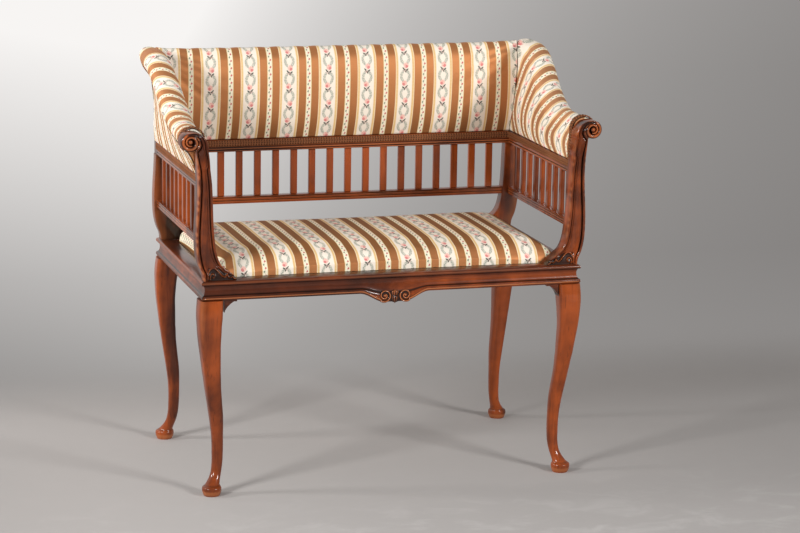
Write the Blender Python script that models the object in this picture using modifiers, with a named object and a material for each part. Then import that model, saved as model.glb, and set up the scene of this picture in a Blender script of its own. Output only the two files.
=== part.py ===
# Small upholstered hall settee: a moulded mahogany seat frame on four cabriole legs, four shaped posts,
# slatted back and sides, a padded back and rolled arms, and a drop-in seat that lifts out.
# Metres, +Z up, +X to the sitter's left as seen from the front, the front faces -Y.

import math

import bpy
import bmesh
import numpy as np
from mathutils import Vector

# Fits
GAP = 0.0003  # between pieces that touch
OVERRUN = 0.004  # how far a cutter runs past what it cuts

# Seat frame
FRAME_WIDTH = 0.777  # over the nose of the moulding
FRAME_DEPTH = 0.4535
SEAT_RAIL_TOP = 0.4345
SEAT_RAIL_HEIGHT = 0.0375
RAIL_TOP_WIDTH = 0.0365
LEDGE_WIDTH = 0.014
REBATE_DEPTH = 0.016
MOULDING_DEPTH = 0.007
APRON_DROP = 0.0185
APRON_HALF_WIDTH = 0.072
APRON_FLAT_HALF_WIDTH = 0.020
APRON_THICKNESS = 0.016
APRON_HEEL = 0.0004

# Legs
KNEE_HALF_WIDTH = 0.0242
KNEE_INSET = 0.0205  # knee centre in from the nose of the frame
KNEE_SWING = 0.0062  # how far the knee leans out along the diagonal
ANKLE_SWING = 0.0205  # how far the ankle is drawn in
FOOT_RADIUS = 0.0190
FRONT_FOOT_IN_X = 0.0245
FRONT_FOOT_IN_Y = 0.0230
BACK_FOOT_IN_X = 0.0175
BACK_FOOT_OUT_Y = 0.0015
EAR_LENGTH = 0.025
EAR_DROP = 0.0248
EAR_THICKNESS = 0.020
EAR_SETBACK = 0.004  # ear's front face behind the nose of the frame
BLOCK_SIDE = 0.038
BLOCK_HEIGHT = 0.017

# Posts
FRONT_POST_THICKNESS = 0.0325
REAR_POST_THICKNESS = 0.0265
FRONT_POST_SETBACK = 0.0045  # front face behind the nose of the frame
REAR_POST_SETBACK = 0.0035  # rear face in from the nose at the back
POST_OUT = 0.397  # greatest reach of a post from the middle
POST_BASE_WIDTH = 0.0655
VOLUTE_HEIGHT = 0.2725  # volute centre above the seat rail
VOLUTE_OUT = 0.0115  # volute centre beyond the reach of the post
VOLUTE_RADIUS = 0.0180
VOLUTE_SWEEP = 0.0217  # how much the spiral opens before it runs into the post
VOLUTE_START = -125.0  # degrees, where the spiral leaves the post's outer edge
VOLUTE_END = 208.0  # degrees, where it meets the post's inner edge
VOLUTE_OPENS = 90.0  # degrees, from where the circle widens into a spiral
NECK_WIDTH = 0.0064  # top of the rear post, inside the upholstery

# Slatted panels
UPPER_RAIL_BOTTOM = 0.6139
UPPER_RAIL_HEIGHT = 0.0255
LOWER_RAIL_BOTTOM = 0.5043
LOWER_RAIL_HEIGHT = 0.0152
PANEL_RAIL_THICKNESS = 0.0180
SIDE_PANEL_IN = 0.3735  # inner face of the side panels from the middle
BACK_PANEL_SETBACK = 0.0270  # front face of the back panel in from the nose at the back
SLAT_WIDTH = 0.0142
SLAT_THICKNESS = 0.0080
BACK_SLATS = 18
SIDE_SLATS = 9
SLAT_HOUSING = 0.003  # how deep a side slat sits in its lower rail
EDGE_ROUND = 0.0010

# Braid
BRAID_WIDTH = 0.0135
BRAID_THICKNESS = 0.0022

# Upholstery
BACK_HEIGHT = 0.8365
BACK_BULGE = 0.0270
BACK_ROLL_REACH = 0.0100  # how far the roll stands behind the back panel
COVER_THICKNESS = 0.0025
COVER_BULGE = 0.006  # how far the outer sides of the arms are pulled out between rail and roll
CREASE = 0.0018  # between the back pad's ends and the arms
ROLL_RADIUS = 0.0282
ROLL_OUT = 0.0310  # roll centre beyond the inner face of the side panel, at its widest
ROLL_BELOW = 0.0179  # roll centre under the top of the back, at the back
ROLL_WRAP = 230.0  # degrees that the cloth goes round the roll
FACE_PULL = 0.40  # how straight the cloth leaves the rail and meets the roll on the inner face, as a share
FLANK_PULL = 0.35  # the same on the outer face
FRONT_ROLL_SETBACK = 0.0375  # front end of the arm padding behind the nose
BATTEN_SIDE = 0.0160  # rail inside each arm roll
CREST_HEIGHT = 0.0240
CREST_DEPTH = 0.0150
CREST_TOP_BELOW = 0.0125  # crest rail under the top of the upholstery

# Drop-in seat
SEAT_CLEARANCE = 0.0018  # all round, in the rebate
SEAT_FRAME_WIDTH = 0.045
SEAT_FRAME_THICKNESS = 0.0125
WEBBING_THICKNESS = 0.0020
WEBBING_MARGIN = 0.010
CUSHION_CROWN = 0.0505
CUSHION_SIDE_IN = 0.0045  # how far the sides draw in between the corners
CUSHION_EDGE_OVER = 0.0015  # cushion over the edge of its frame
CUSHION_EDGE_POWER = 14.5  # how square the cushion's outline is at its edge
CUSHION_CROWN_POWER = 0.5  # and at its crown

MAHOGANY = (0.16, 0.045, 0.018)
INNER_WOOD = (0.42, 0.27, 0.14)
STRIPED_COVER = (0.62, 0.47, 0.30)
BRAID_COLOUR = (0.30, 0.13, 0.06)
WEBBING_COLOUR = (0.45, 0.36, 0.24)

# Shares of the moulding's depth (in from the nose) and of the rail's height (down from its top)
MOULDING_SHARES = ((0.5, 0.0), (0.0, 0.12), (0.2, 0.2), (0.65, 0.24), (1.0, 0.36), (0.95, 0.52),
                   (0.6, 0.71), (0.2, 0.81), (0.0, 0.9), (0.25, 1.0))
# Height share of the leg, swing share (+ knee, - ankle), half-width share of the knee, squareness, and how much
# of the section's diagonal is trimmed
LEG_SHARES = ((0.0, 0.0, 0.72, 0.0, 0.0), (0.018, 0.0, 0.83, 0.0, 0.0), (0.040, 0.0, 0.856, 0.0, 0.0),
              (0.0455, -0.02, 0.81, 0.0, 0.0), (0.053, -0.10, 0.639, 0.0, 0.0), (0.070, -0.32, 0.523, 0.0, 0.0),
              (0.10, -0.66, 0.44, 0.05, 0.0), (0.15, -0.93, 0.44, 0.1, 0.0), (0.21, -1.0, 0.458, 0.15, 0.0),
              (0.30, -0.97, 0.49, 0.2, 0.03), (0.40, -0.77, 0.588, 0.25, 0.08), (0.48, -0.48, 0.63, 0.35, 0.10),
              (0.555, -0.22, 0.678, 0.4, 0.12), (0.63, 0.0, 0.736, 0.5, 0.105), (0.707, 0.5, 0.802, 0.6, 0.10),
              (0.782, 1.0, 0.876, 0.7, 0.107), (0.833, 1.1, 0.934, 0.75, 0.10), (0.87, 1.1, 0.955, 0.8, 0.08),
              (0.91, 1.0, 1.0, 0.85, 0.075), (0.95, 0.85, 1.0, 0.9, 0.07), (1.0, 0.55, 0.98, 0.9, 0.07))
# Share of an ear's length away from the knee, share of its drop
EAR_SHARES = ((0.0, 1.0), (0.057, 0.81), (0.172, 0.624), (0.33, 0.445), (0.523, 0.275), (0.747, 0.121),
              (1.0, 0.127))
# Height share of the volute's height, outer edge in from the post's reach as a share of the base width
POST_OUTER_SHARES = ((0.0, 0.225), (0.04, 0.205), (0.10, 0.105), (0.18, 0.03), (0.30, 0.0), (0.42, 0.012),
                     (0.55, 0.045), (0.70, 0.062), (0.80, 0.040), (0.86, 0.015))
# Height share, width share of the base width
POST_WIDTH_SHARES = ((0.0, 0.995), (0.03, 0.93), (0.07, 0.80), (0.105, 0.68), (0.14, 0.625), (0.20, 0.585),
                     (0.30, 0.545), (0.42, 0.495), (0.55, 0.445), (0.70, 0.40), (0.80, 0.375), (0.86, 0.37))
# Depth share of the arm, then roll centre out, roll centre up, radius
ROLL_SHARES = ((0.0, 0.832, 0.370, 0.80), (0.12, 0.745, 0.378, 0.84), (0.25, 0.640, 0.394, 0.90),
               (0.37, 0.665, 0.475, 0.965), (0.48, 0.735, 0.600, 1.0), (0.60, 0.870, 0.805, 0.975),
               (0.72, 0.985, 0.950, 0.955), (0.85, 1.010, 0.985, 0.900), (0.93, 1.040, 0.995, 0.780),
               (1.0, 1.065, 1.0, 0.590))
# Height share of the back, forward share of its bulge
BACK_FRONT_SHARES = ((0.0, 0.0), (0.08, 0.30), (0.20, 0.62), (0.38, 0.90), (0.55, 1.0), (0.72, 0.97),
                     (0.86, 0.80), (0.94, 0.56), (0.985, 0.25), (1.0, -0.08))
# Height share, backward share of the roll's reach
BACK_REAR_SHARES = ((0.985, 0.62), (0.94, 0.90), (0.88, 1.0), (0.80, 0.80), (0.72, 0.35), (0.64, 0.0),
                    (0.48, 0.0), (0.32, 0.0), (0.16, 0.0), (0.0, 0.0))
# Inset share of the cushion's half depth, rise share of its crown
CUSHION_SHARES = ((0.0, 0.0), (0.016, 0.20), (0.042, 0.36), (0.09, 0.54), (0.17, 0.705), (0.276, 0.83),
                  (0.425, 0.92), (0.637, 0.975), (0.90, 1.0))
# Height shares of the rear post's neck
NECK_SHARES = (0.0, 0.2, 0.4, 0.55, 0.7, 0.82, 0.92, 1.0)
# Height shares of the volute's height at which the posts are drawn, closer together at the scrolled base
POST_SHARES = [0.02 * i for i in range(10)] + [0.2 + 0.04 * i for i in range(17)]

HALF_WIDTH = FRAME_WIDTH / 2
HALF_DEPTH = FRAME_DEPTH / 2
SEAT_RAIL_BOTTOM = SEAT_RAIL_TOP - SEAT_RAIL_HEIGHT
LEG_HEIGHT = SEAT_RAIL_BOTTOM - APRON_HEEL - GAP
OPENING_HALF_WIDTH = HALF_WIDTH - RAIL_TOP_WIDTH
OPENING_HALF_DEPTH = HALF_DEPTH - RAIL_TOP_WIDTH
FRONT_POST_FACE = -HALF_DEPTH + FRONT_POST_SETBACK
FRONT_POST_BACK = FRONT_POST_FACE + FRONT_POST_THICKNESS
REAR_POST_BACK = HALF_DEPTH - REAR_POST_SETBACK
REAR_POST_FACE = REAR_POST_BACK - REAR_POST_THICKNESS
BACK_PANEL_FRONT = HALF_DEPTH - BACK_PANEL_SETBACK
BACK_PANEL_REAR = BACK_PANEL_FRONT + PANEL_RAIL_THICKNESS
UPPER_RAIL_TOP = UPPER_RAIL_BOTTOM + UPPER_RAIL_HEIGHT
LOWER_RAIL_TOP = LOWER_RAIL_BOTTOM + LOWER_RAIL_HEIGHT
SIDE_PANEL_OUT = SIDE_PANEL_IN + PANEL_RAIL_THICKNESS
VOLUTE_X = POST_OUT + VOLUTE_OUT
VOLUTE_Z = SEAT_RAIL_TOP + VOLUTE_HEIGHT
PAD_BOTTOM = UPPER_RAIL_TOP + GAP
BACK_PAD_HEIGHT = BACK_HEIGHT - PAD_BOTTOM
ROLL_RISE = BACK_HEIGHT - ROLL_BELOW - UPPER_RAIL_TOP
ARM_FRONT = -HALF_DEPTH + FRONT_ROLL_SETBACK
ARM_BACK = REAR_POST_BACK + COVER_THICKNESS
ARM_RUN = ARM_BACK - ARM_FRONT
CREST_TOP = BACK_HEIGHT - CREST_TOP_BELOW
CREST_FRONT = REAR_POST_FACE + (REAR_POST_THICKNESS - CREST_DEPTH) / 2
LEDGE_TOP = SEAT_RAIL_TOP - REBATE_DEPTH
SEAT_HALF_WIDTH = OPENING_HALF_WIDTH - SEAT_CLEARANCE
SEAT_HALF_DEPTH = OPENING_HALF_DEPTH - SEAT_CLEARANCE
SEAT_FRAME_TOP = LEDGE_TOP + GAP + SEAT_FRAME_THICKNESS
CUSHION_BOTTOM = SEAT_FRAME_TOP + WEBBING_THICKNESS + 2 * GAP

SIDES = {"left": -1, "right": 1}


# Scene

def clear_scene():
    for item in list(bpy.data.objects):
        bpy.data.objects.remove(item, do_unlink=True)


def new_collection(name):
    group = bpy.data.collections.new(name)
    bpy.context.scene.collection.children.link(group)
    return group


def new_material(name, colour, roughness, coat):
    material = bpy.data.materials.new(name)
    material.use_nodes = True
    shader = material.node_tree.nodes["Principled BSDF"]
    shader.inputs["Base Color"].default_value = (*colour, 1.0)
    shader.inputs["Roughness"].default_value = roughness
    shader.inputs["Metallic"].default_value = 0.0
    shader.inputs["Coat Weight"].default_value = coat
    return material


def polished(name):
    return new_material(name, MAHOGANY, 0.30, 0.4)


def inner_wood(name):
    return new_material(name, INNER_WOOD, 0.75, 0.0)


def striped(name):
    return new_material(name, STRIPED_COVER, 0.70, 0.0)


def braid(name):
    return new_material(name, BRAID_COLOUR, 0.60, 0.0)


def add_piece(name, mesh_or_curve, material):
    piece = bpy.data.objects.new(name, mesh_or_curve)
    PIECES.objects.link(piece)
    piece.data.materials.append(material)
    piece.parent = ROOT
    return piece


def as_cutter(cutter):
    PIECES.objects.unlink(cutter)
    CUTTERS.objects.link(cutter)
    cutter.hide_render = True
    cutter.display_type = "WIRE"
    return cutter


def cut(piece, cutter, operation="DIFFERENCE"):
    boolean = piece.modifiers.new(cutter.name, "BOOLEAN")
    boolean.operation = operation
    boolean.solver = "EXACT"
    boolean.object = cutter


def rounded(piece, width):
    bevel = piece.modifiers.new("edges", "BEVEL")
    bevel.width = width
    bevel.segments = 1
    bevel.limit_method = "ANGLE"


# Shape helpers

def smooth(table, at, column=1):
    """Value of a table of shares at a place, on a Catmull-Rom curve through the table's rows."""
    xs = np.array([row[0] for row in table])
    ys = np.array([row[column] for row in table])
    rising = xs[-1] > xs[0]
    if not rising:
        xs = xs[::-1]
        ys = ys[::-1]
    slopes = np.gradient(ys, xs)
    at = float(np.clip(at, xs[0], xs[-1]))
    i = int(np.clip(np.searchsorted(xs, at) - 1, 0, len(xs) - 2))
    span = xs[i + 1] - xs[i]
    t = (at - xs[i]) / span
    low = ys[i] * (1 + 2 * t) * (1 - t) ** 2 + slopes[i] * span * t * (1 - t) ** 2
    high = ys[i + 1] * t * t * (3 - 2 * t) + slopes[i + 1] * span * t * t * (t - 1)
    return float(low + high)


def loft(name, rings, material, smooth_shading=False):
    """A closed solid through rings of equal point counts."""
    shape = bmesh.new()
    rows = [[shape.verts.new(point) for point in ring] for ring in rings]
    count = len(rows[0])
    for low, high in zip(rows, rows[1:]):
        for i in range(count):
            j = (i + 1) % count
            shape.faces.new((low[i], low[j], high[j], high[i]))
    ends = [shape.faces.new(rows[0][::-1]), shape.faces.new(rows[-1])]
    bmesh.ops.recalc_face_normals(shape, faces=shape.faces)
    bmesh.ops.triangulate(shape, faces=ends)
    mesh = bpy.data.meshes.new(name)
    shape.to_mesh(mesh)
    shape.free()
    if smooth_shading:
        mesh.shade_smooth()
        mesh.set_sharp_from_angle(angle=math.radians(40))
    return add_piece(name, mesh, material)


def block(name, low, high, material, edge=0.0):
    """A box between two corners, from the cube primitive."""
    low = Vector(low)
    high = Vector(high)
    shape = bmesh.new()
    bmesh.ops.create_cube(shape, size=1.0)
    bmesh.ops.scale(shape, vec=high - low, verts=shape.verts)
    bmesh.ops.translate(shape, vec=(low + high) / 2, verts=shape.verts)
    mesh = bpy.data.meshes.new(name)
    shape.to_mesh(mesh)
    shape.free()
    piece = add_piece(name, mesh, material)
    if edge:
        rounded(piece, edge)
    return piece


def board(name, outline, front, back, material):
    """A flat board standing in the XZ plane: a filled 2D curve, extruded by half its thickness."""
    curve = bpy.data.curves.new(name, "CURVE")
    curve.dimensions = "2D"
    curve.fill_mode = "BOTH"
    curve.extrude = (back - front) / 2
    spline = curve.splines.new("POLY")
    spline.points.add(len(outline) - 1)
    for point, (x, z) in zip(spline.points, outline):
        point.co = (x, z, 0, 1)
    spline.use_cyclic_u = True
    piece = add_piece(name, curve, material)
    piece.rotation_euler = (math.pi / 2, 0, 0)
    piece.location = (0, (front + back) / 2, 0)
    return piece


def as_mesh(piece):
    """Swaps a curve object for a welded mesh with the same place, so that it can be cut or joined."""
    bpy.context.view_layer.update()
    graph = bpy.context.evaluated_depsgraph_get()
    mesh = bpy.data.meshes.new_from_object(piece.evaluated_get(graph))
    shape = bmesh.new()
    shape.from_mesh(mesh)
    bmesh.ops.remove_doubles(shape, verts=shape.verts, dist=GAP / 10)
    shape.to_mesh(mesh)
    shape.free()
    name = piece.name
    matrix = piece.matrix_local.copy()
    bpy.data.objects.remove(piece, do_unlink=True)
    swapped = bpy.data.objects.new(name, mesh)
    PIECES.objects.link(swapped)
    swapped.parent = ROOT
    swapped.matrix_local = matrix
    return swapped


# Seat frame

def apron_drop(x):
    """Depth of the front rail's serpentine drop at a place: flat in the middle, eased out by a cosine."""
    away = (abs(x) - APRON_FLAT_HALF_WIDTH) / (APRON_HALF_WIDTH - APRON_FLAT_HALF_WIDTH)
    away = min(max(away, 0.0), 1.0)
    return APRON_DROP * (1 + math.cos(math.pi * away)) / 2


def rail_section(drop):
    """Section of a seat rail: distance in from the nose, and height."""
    points = []
    for inward, down in MOULDING_SHARES:
        lowered = drop if down > MOULDING_SHARES[-3][1] else 0.0
        points.append((inward * MOULDING_DEPTH, SEAT_RAIL_TOP - down * SEAT_RAIL_HEIGHT - lowered))
    points.append((APRON_THICKNESS, SEAT_RAIL_BOTTOM - drop))
    points.append((APRON_THICKNESS + APRON_HEEL, SEAT_RAIL_BOTTOM))
    points.append((RAIL_TOP_WIDTH + LEDGE_WIDTH, SEAT_RAIL_BOTTOM))
    points.append((RAIL_TOP_WIDTH + LEDGE_WIDTH, LEDGE_TOP))
    points.append((RAIL_TOP_WIDTH, LEDGE_TOP))
    points.append((RAIL_TOP_WIDTH, SEAT_RAIL_TOP))
    return points


def seat_rail(name, length, place, stations, material):
    """A rail along its own direction, mitred at both ends, with place(along, inward, z) giving each point."""
    half = length / 2
    rings = []
    ends = [(-1, -half)] + [(0, along) for along in stations] + [(1, half)]
    for end, along in ends:
        drop = APRON_HEEL
        if stations and not end:
            drop += apron_drop(along)
        ring = []
        for inward, z in rail_section(drop):
            mitre = end * (inward + GAP)
            ring.append(place(along - mitre, inward, z))
        rings.append(ring)
    return loft(name, rings, material)


def seat_rails():
    apron_stations = [APRON_HALF_WIDTH * i / 8 for i in range(-8, 9)]
    seat_rail("front_seat_rail", FRAME_WIDTH, lambda a, d, z: (a, -HALF_DEPTH + d, z), apron_stations,
              polished("front_seat_rail"))
    seat_rail("back_seat_rail", FRAME_WIDTH, lambda a, d, z: (a, HALF_DEPTH - d, z), [],
              polished("back_seat_rail"))
    for side, sign in SIDES.items():
        name = f"{side}_seat_rail"
        seat_rail(name, FRAME_DEPTH, lambda a, d, z: (sign * (HALF_WIDTH - d), a, z), [], polished(name))


def corner_blocks():
    """Triangular glue blocks inside the frame's corners, under the level of the ledge."""
    inner_x = HALF_WIDTH - RAIL_TOP_WIDTH - LEDGE_WIDTH - GAP
    inner_y = HALF_DEPTH - RAIL_TOP_WIDTH - LEDGE_WIDTH - GAP
    for side, sign in SIDES.items():
        for end, direction in (("front", -1), ("back", 1)):
            corner = Vector((sign * inner_x, direction * inner_y, 0))
            along_x = corner - Vector((sign * BLOCK_SIDE, 0, 0))
            along_y = corner - Vector((0, direction * BLOCK_SIDE, 0))
            rings = []
            for z in (SEAT_RAIL_BOTTOM, SEAT_RAIL_BOTTOM + BLOCK_HEIGHT):
                rings.append([point + Vector((0, 0, z)) for point in (corner, along_x, along_y)])
            name = f"{end}_{side}_corner_block"
            loft(name, rings, inner_wood(name))


# Legs

def squarish(centre, half, squareness, trim, outward, z, count=16):
    """A ring between a circle and a rounded square, narrowed along the corner's diagonal by a trim share."""
    power = 2 / (2 + 3 * squareness)
    ring = []
    for i in range(count):
        angle = 2 * math.pi * (i + 0.5) / count
        c = math.cos(angle)
        s = math.sin(angle)
        x = math.copysign(abs(c) ** power, c)
        y = math.copysign(abs(s) ** power, s)
        along = trim * (x * outward[0] + y * outward[1]) / 2
        x -= along * outward[0]
        y -= along * outward[1]
        ring.append((centre[0] + half * x, centre[1] + half * y, z))
    return ring


def leg_swing(share):
    return share * (KNEE_SWING if share > 0 else ANKLE_SWING)


def leg_rings(foot, knee, outward):
    """Rings of a cabriole leg, on a line from foot to knee, swung along the corner's diagonal."""
    rings = []
    top_swing = leg_swing(1.0) / math.sqrt(2)
    for height, swing, width, squareness, trim in LEG_SHARES:
        shift = leg_swing(swing) / math.sqrt(2) - height * top_swing
        centre = [foot[k] + (knee[k] - foot[k]) * height + outward[k] * shift for k in (0, 1)]
        half = KNEE_HALF_WIDTH * width
        if height < LEG_SHARES[4][0]:
            half = FOOT_RADIUS * width / LEG_SHARES[2][2]
        rings.append(squarish(centre, half, squareness, trim, outward, height * LEG_HEIGHT))
    return rings


def front_leg_rings(sign):
    foot = (sign * (HALF_WIDTH - FRONT_FOOT_IN_X), -HALF_DEPTH + FRONT_FOOT_IN_Y)
    knee = (sign * (HALF_WIDTH - KNEE_INSET), -HALF_DEPTH + KNEE_INSET)
    return leg_rings(foot, knee, (sign, -1))


def back_leg_rings(sign):
    foot = (sign * (HALF_WIDTH - BACK_FOOT_IN_X), HALF_DEPTH + BACK_FOOT_OUT_Y)
    knee = (sign * (HALF_WIDTH - KNEE_INSET), HALF_DEPTH - KNEE_INSET)
    return leg_rings(foot, knee, (sign, 1))


def legs():
    for side, sign in SIDES.items():
        for end, rings in (("front", front_leg_rings(sign)), ("back", back_leg_rings(sign))):
            name = f"{end}_{side}_leg"
            loft(name, rings, polished(name), smooth_shading=True)


def footprint_middle():
    """Middle of the space the legs take up from front to back: the back feet stand out behind the frame."""
    depths = [point[1] for rings in (front_leg_rings(1), back_leg_rings(1)) for ring in rings for point in ring]
    return (min(depths) + max(depths)) / 2


def ears():
    """Small shaped brackets between the front legs' knees and the front rail."""
    top = SEAT_RAIL_BOTTOM - APRON_HEEL - GAP
    front = -HALF_DEPTH + EAR_SETBACK
    near = min(point[0] for ring in front_leg_rings(1)[-2:] for point in ring) - GAP
    for side, sign in SIDES.items():
        outline = [(sign * near, top)]
        for along, drop in EAR_SHARES:
            outline.append((sign * (near - along * EAR_LENGTH), top - drop * EAR_DROP))
        outline.append((sign * (near - EAR_LENGTH), top))
        name = f"front_{side}_ear"
        board(name, outline, front, front + EAR_THICKNESS, polished(name))


# Posts

def post_outer(z):
    share = (z - SEAT_RAIL_TOP) / VOLUTE_HEIGHT
    return POST_OUT - POST_BASE_WIDTH * smooth(POST_OUTER_SHARES, share)


def post_inner(z):
    share = (z - SEAT_RAIL_TOP) / VOLUTE_HEIGHT
    return post_outer(z) - POST_BASE_WIDTH * smooth(POST_WIDTH_SHARES, share)


def volute(steps=18):
    """The scroll on a front post: a circle that opens into a spiral over its top and inner side."""
    points = []
    for i in range(steps + 1):
        turn = VOLUTE_START + (VOLUTE_END - VOLUTE_START) * i / steps
        opening = max(turn - VOLUTE_OPENS, 0) / (VOLUTE_END - VOLUTE_OPENS)
        radius = VOLUTE_RADIUS + VOLUTE_SWEEP * opening ** 1.5
        angle = math.radians(turn)
        points.append((VOLUTE_X + radius * math.cos(angle), VOLUTE_Z + radius * math.sin(angle)))
    return points


def post_heights():
    return [SEAT_RAIL_TOP + share * VOLUTE_HEIGHT for share in POST_SHARES]


def post_face(z):
    """The inner face of a post as drawn, straight between its outline's points."""
    drawn = post_heights()
    return float(np.interp(z, drawn, [post_inner(height) for height in drawn]))


def neck_heights():
    return [UPPER_RAIL_TOP + share * (CREST_TOP - UPPER_RAIL_TOP) for share in NECK_SHARES]


def front_post_outline():
    outer = [(post_outer(z), z) for z in post_heights()]
    inner = [(post_inner(z), z) for z in post_heights()[::-1]]
    outline = outer + volute() + inner
    return [(x, max(z, SEAT_RAIL_TOP + GAP)) for x, z in outline]


def neck_centre(z):
    """Middle of the rear post's neck: half way between the arm's inner and outer faces over its thickness."""
    inner = []
    outer = []
    for y in (REAR_POST_FACE, (REAR_POST_FACE + REAR_POST_BACK) / 2, REAR_POST_BACK):
        section = arm_skin(y, 0.0)
        rising = section[:ROLL_CREST]
        falling = section[:ROLL_CREST:-1]
        inner.append(np.interp(z, [point[1] for point in rising], [point[0] for point in rising]))
        outer.append(np.interp(z, [point[1] for point in falling], [point[0] for point in falling]))
    return float(max(inner) + min(outer)) / 2


def rear_post_outline():
    """The front post's lower shape up to the panel's upper rail, then a narrow neck inside the upholstery."""
    shoulder = UPPER_RAIL_BOTTOM
    outer = [(post_outer(z), z) for z in post_heights() if z < shoulder]
    outer.append((post_outer(shoulder), shoulder))
    outer.append((SIDE_PANEL_OUT, shoulder))
    outer.append((SIDE_PANEL_OUT, UPPER_RAIL_TOP))
    neck = neck_heights()
    outer += [(neck_centre(z) + NECK_WIDTH / 2, z) for z in neck]
    inner = [(neck_centre(z) - NECK_WIDTH / 2, z) for z in neck[::-1]]
    inner.append((neck_centre(UPPER_RAIL_TOP) - NECK_WIDTH / 2, shoulder))
    inner.append((post_inner(shoulder), shoulder))
    inner += [(post_inner(z), z) for z in post_heights()[::-1] if z < shoulder]
    return [(x, max(z, SEAT_RAIL_TOP + GAP)) for x, z in outer + inner]


def neck_outline(clearance):
    """The rear post above its upper rail, grown by a clearance, as a cutter."""
    half = NECK_WIDTH / 2 + clearance
    centres = [(neck_centre(z), z) for z in neck_heights()]
    centres.insert(0, (centres[0][0], UPPER_RAIL_TOP - OVERRUN))
    centres.append((centres[-1][0], CREST_TOP + clearance))
    return [(x + half, z) for x, z in centres] + [(x - half, z) for x, z in centres[::-1]]


def mirrored(outline, sign):
    return [(sign * x, z) for x, z in outline]


def posts():
    for side, sign in SIDES.items():
        name = f"front_{side}_post"
        board(name, mirrored(front_post_outline(), sign), FRONT_POST_FACE, FRONT_POST_BACK, polished(name))
        name = f"rear_{side}_post"
        board(name, mirrored(rear_post_outline(), sign), REAR_POST_FACE, REAR_POST_BACK, polished(name))


# Slatted panels

def back_rail(name, bottom, top, reach, material):
    """A back rail whose ends follow the posts' inner faces: reach(z) is the post's inner face."""
    levels = [bottom] + [z for z in post_heights() if bottom + GAP < z < top - GAP] + [top]
    section = [(BACK_PANEL_FRONT, z) for z in levels] + [(BACK_PANEL_REAR, z) for z in levels[::-1]]
    rings = [[(sign * (reach(z) - 2 * GAP), y, z) for y, z in section] for sign in (-1, 1)]
    return loft(name, rings, material)


def back_panel():
    back_rail("back_lower_rail", LOWER_RAIL_BOTTOM, LOWER_RAIL_TOP, post_face, polished("back_lower_rail"))
    neck_inner = neck_centre(UPPER_RAIL_TOP) - NECK_WIDTH / 2
    back_rail("back_upper_rail", UPPER_RAIL_BOTTOM + GAP, UPPER_RAIL_TOP, lambda z: neck_inner,
              polished("back_upper_rail"))
    span = 2 * post_inner((LOWER_RAIL_TOP + UPPER_RAIL_BOTTOM) / 2)
    pitch = (span + SLAT_WIDTH) / (BACK_SLATS + 1)
    middle = (BACK_PANEL_FRONT + BACK_PANEL_REAR) / 2
    for i in range(BACK_SLATS):
        x = (i - (BACK_SLATS - 1) / 2) * pitch
        low = (x - SLAT_WIDTH / 2, middle - SLAT_THICKNESS / 2, LOWER_RAIL_TOP + GAP)
        high = (x + SLAT_WIDTH / 2, middle + SLAT_THICKNESS / 2, UPPER_RAIL_BOTTOM)
        name = f"back_slat_{i + 1:02d}"
        block(name, low, high, polished(name), EDGE_ROUND)


def side_panels():
    """Each side: an upper rail, and a lower rail with its slats housed in it, between the posts."""
    low_y = FRONT_POST_BACK + GAP
    high_y = REAR_POST_FACE - GAP
    pitch = (high_y - low_y + SLAT_WIDTH) / (SIDE_SLATS + 1)
    middle = (SIDE_PANEL_IN + SIDE_PANEL_OUT) / 2
    for side, sign in SIDES.items():
        name = f"{side}_upper_rail"
        xs = sorted((sign * SIDE_PANEL_IN, sign * SIDE_PANEL_OUT))
        block(name, (xs[0], low_y, UPPER_RAIL_BOTTOM), (xs[1], high_y, UPPER_RAIL_TOP), polished(name),
              EDGE_ROUND)
        name = f"{side}_lower_rail"
        rail = block(name, (xs[0], low_y, LOWER_RAIL_BOTTOM), (xs[1], high_y, LOWER_RAIL_TOP), polished(name),
                     EDGE_ROUND)
        xs = sorted((sign * (middle - SLAT_THICKNESS / 2), sign * (middle + SLAT_THICKNESS / 2)))
        for i in range(SIDE_SLATS):
            y = low_y + (i + 1) * pitch - SLAT_WIDTH / 2
            slat = block(f"{side}_slat_{i + 1}", (xs[0], y - SLAT_WIDTH / 2, LOWER_RAIL_TOP - SLAT_HOUSING),
                         (xs[1], y + SLAT_WIDTH / 2, UPPER_RAIL_BOTTOM - GAP), polished("housed_slat"))
            cut(rail, as_cutter(slat), "UNION")


# Arms

def roll(y):
    """Centre out, centre up and radius of an arm's roll at a depth."""
    share = (y - ARM_FRONT) / ARM_RUN
    out = SIDE_PANEL_IN + ROLL_OUT * smooth(ROLL_SHARES, share, 1)
    up = UPPER_RAIL_TOP + ROLL_RISE * smooth(ROLL_SHARES, share, 2)
    return out, up, ROLL_RADIUS * smooth(ROLL_SHARES, share, 3)


def bezier(a, b, c, d, steps):
    points = []
    for i in range(steps + 1):
        t = i / steps
        weights = ((1 - t) ** 3, 3 * t * (1 - t) ** 2, 3 * t * t * (1 - t), t ** 3)
        points.append(tuple(sum(w * p[k] for w, p in zip(weights, (a, b, c, d))) for k in (0, 1)))
    return points


FACE_STEPS = 6
ROLL_STEPS = 12
ROLL_FLANK = FACE_STEPS + 1
ROLL_END = FACE_STEPS + ROLL_STEPS  # points up the inner face and round the roll
ROLL_CREST = FACE_STEPS + 1 + ROLL_STEPS // 3  # index of the point near the top of the roll


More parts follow.
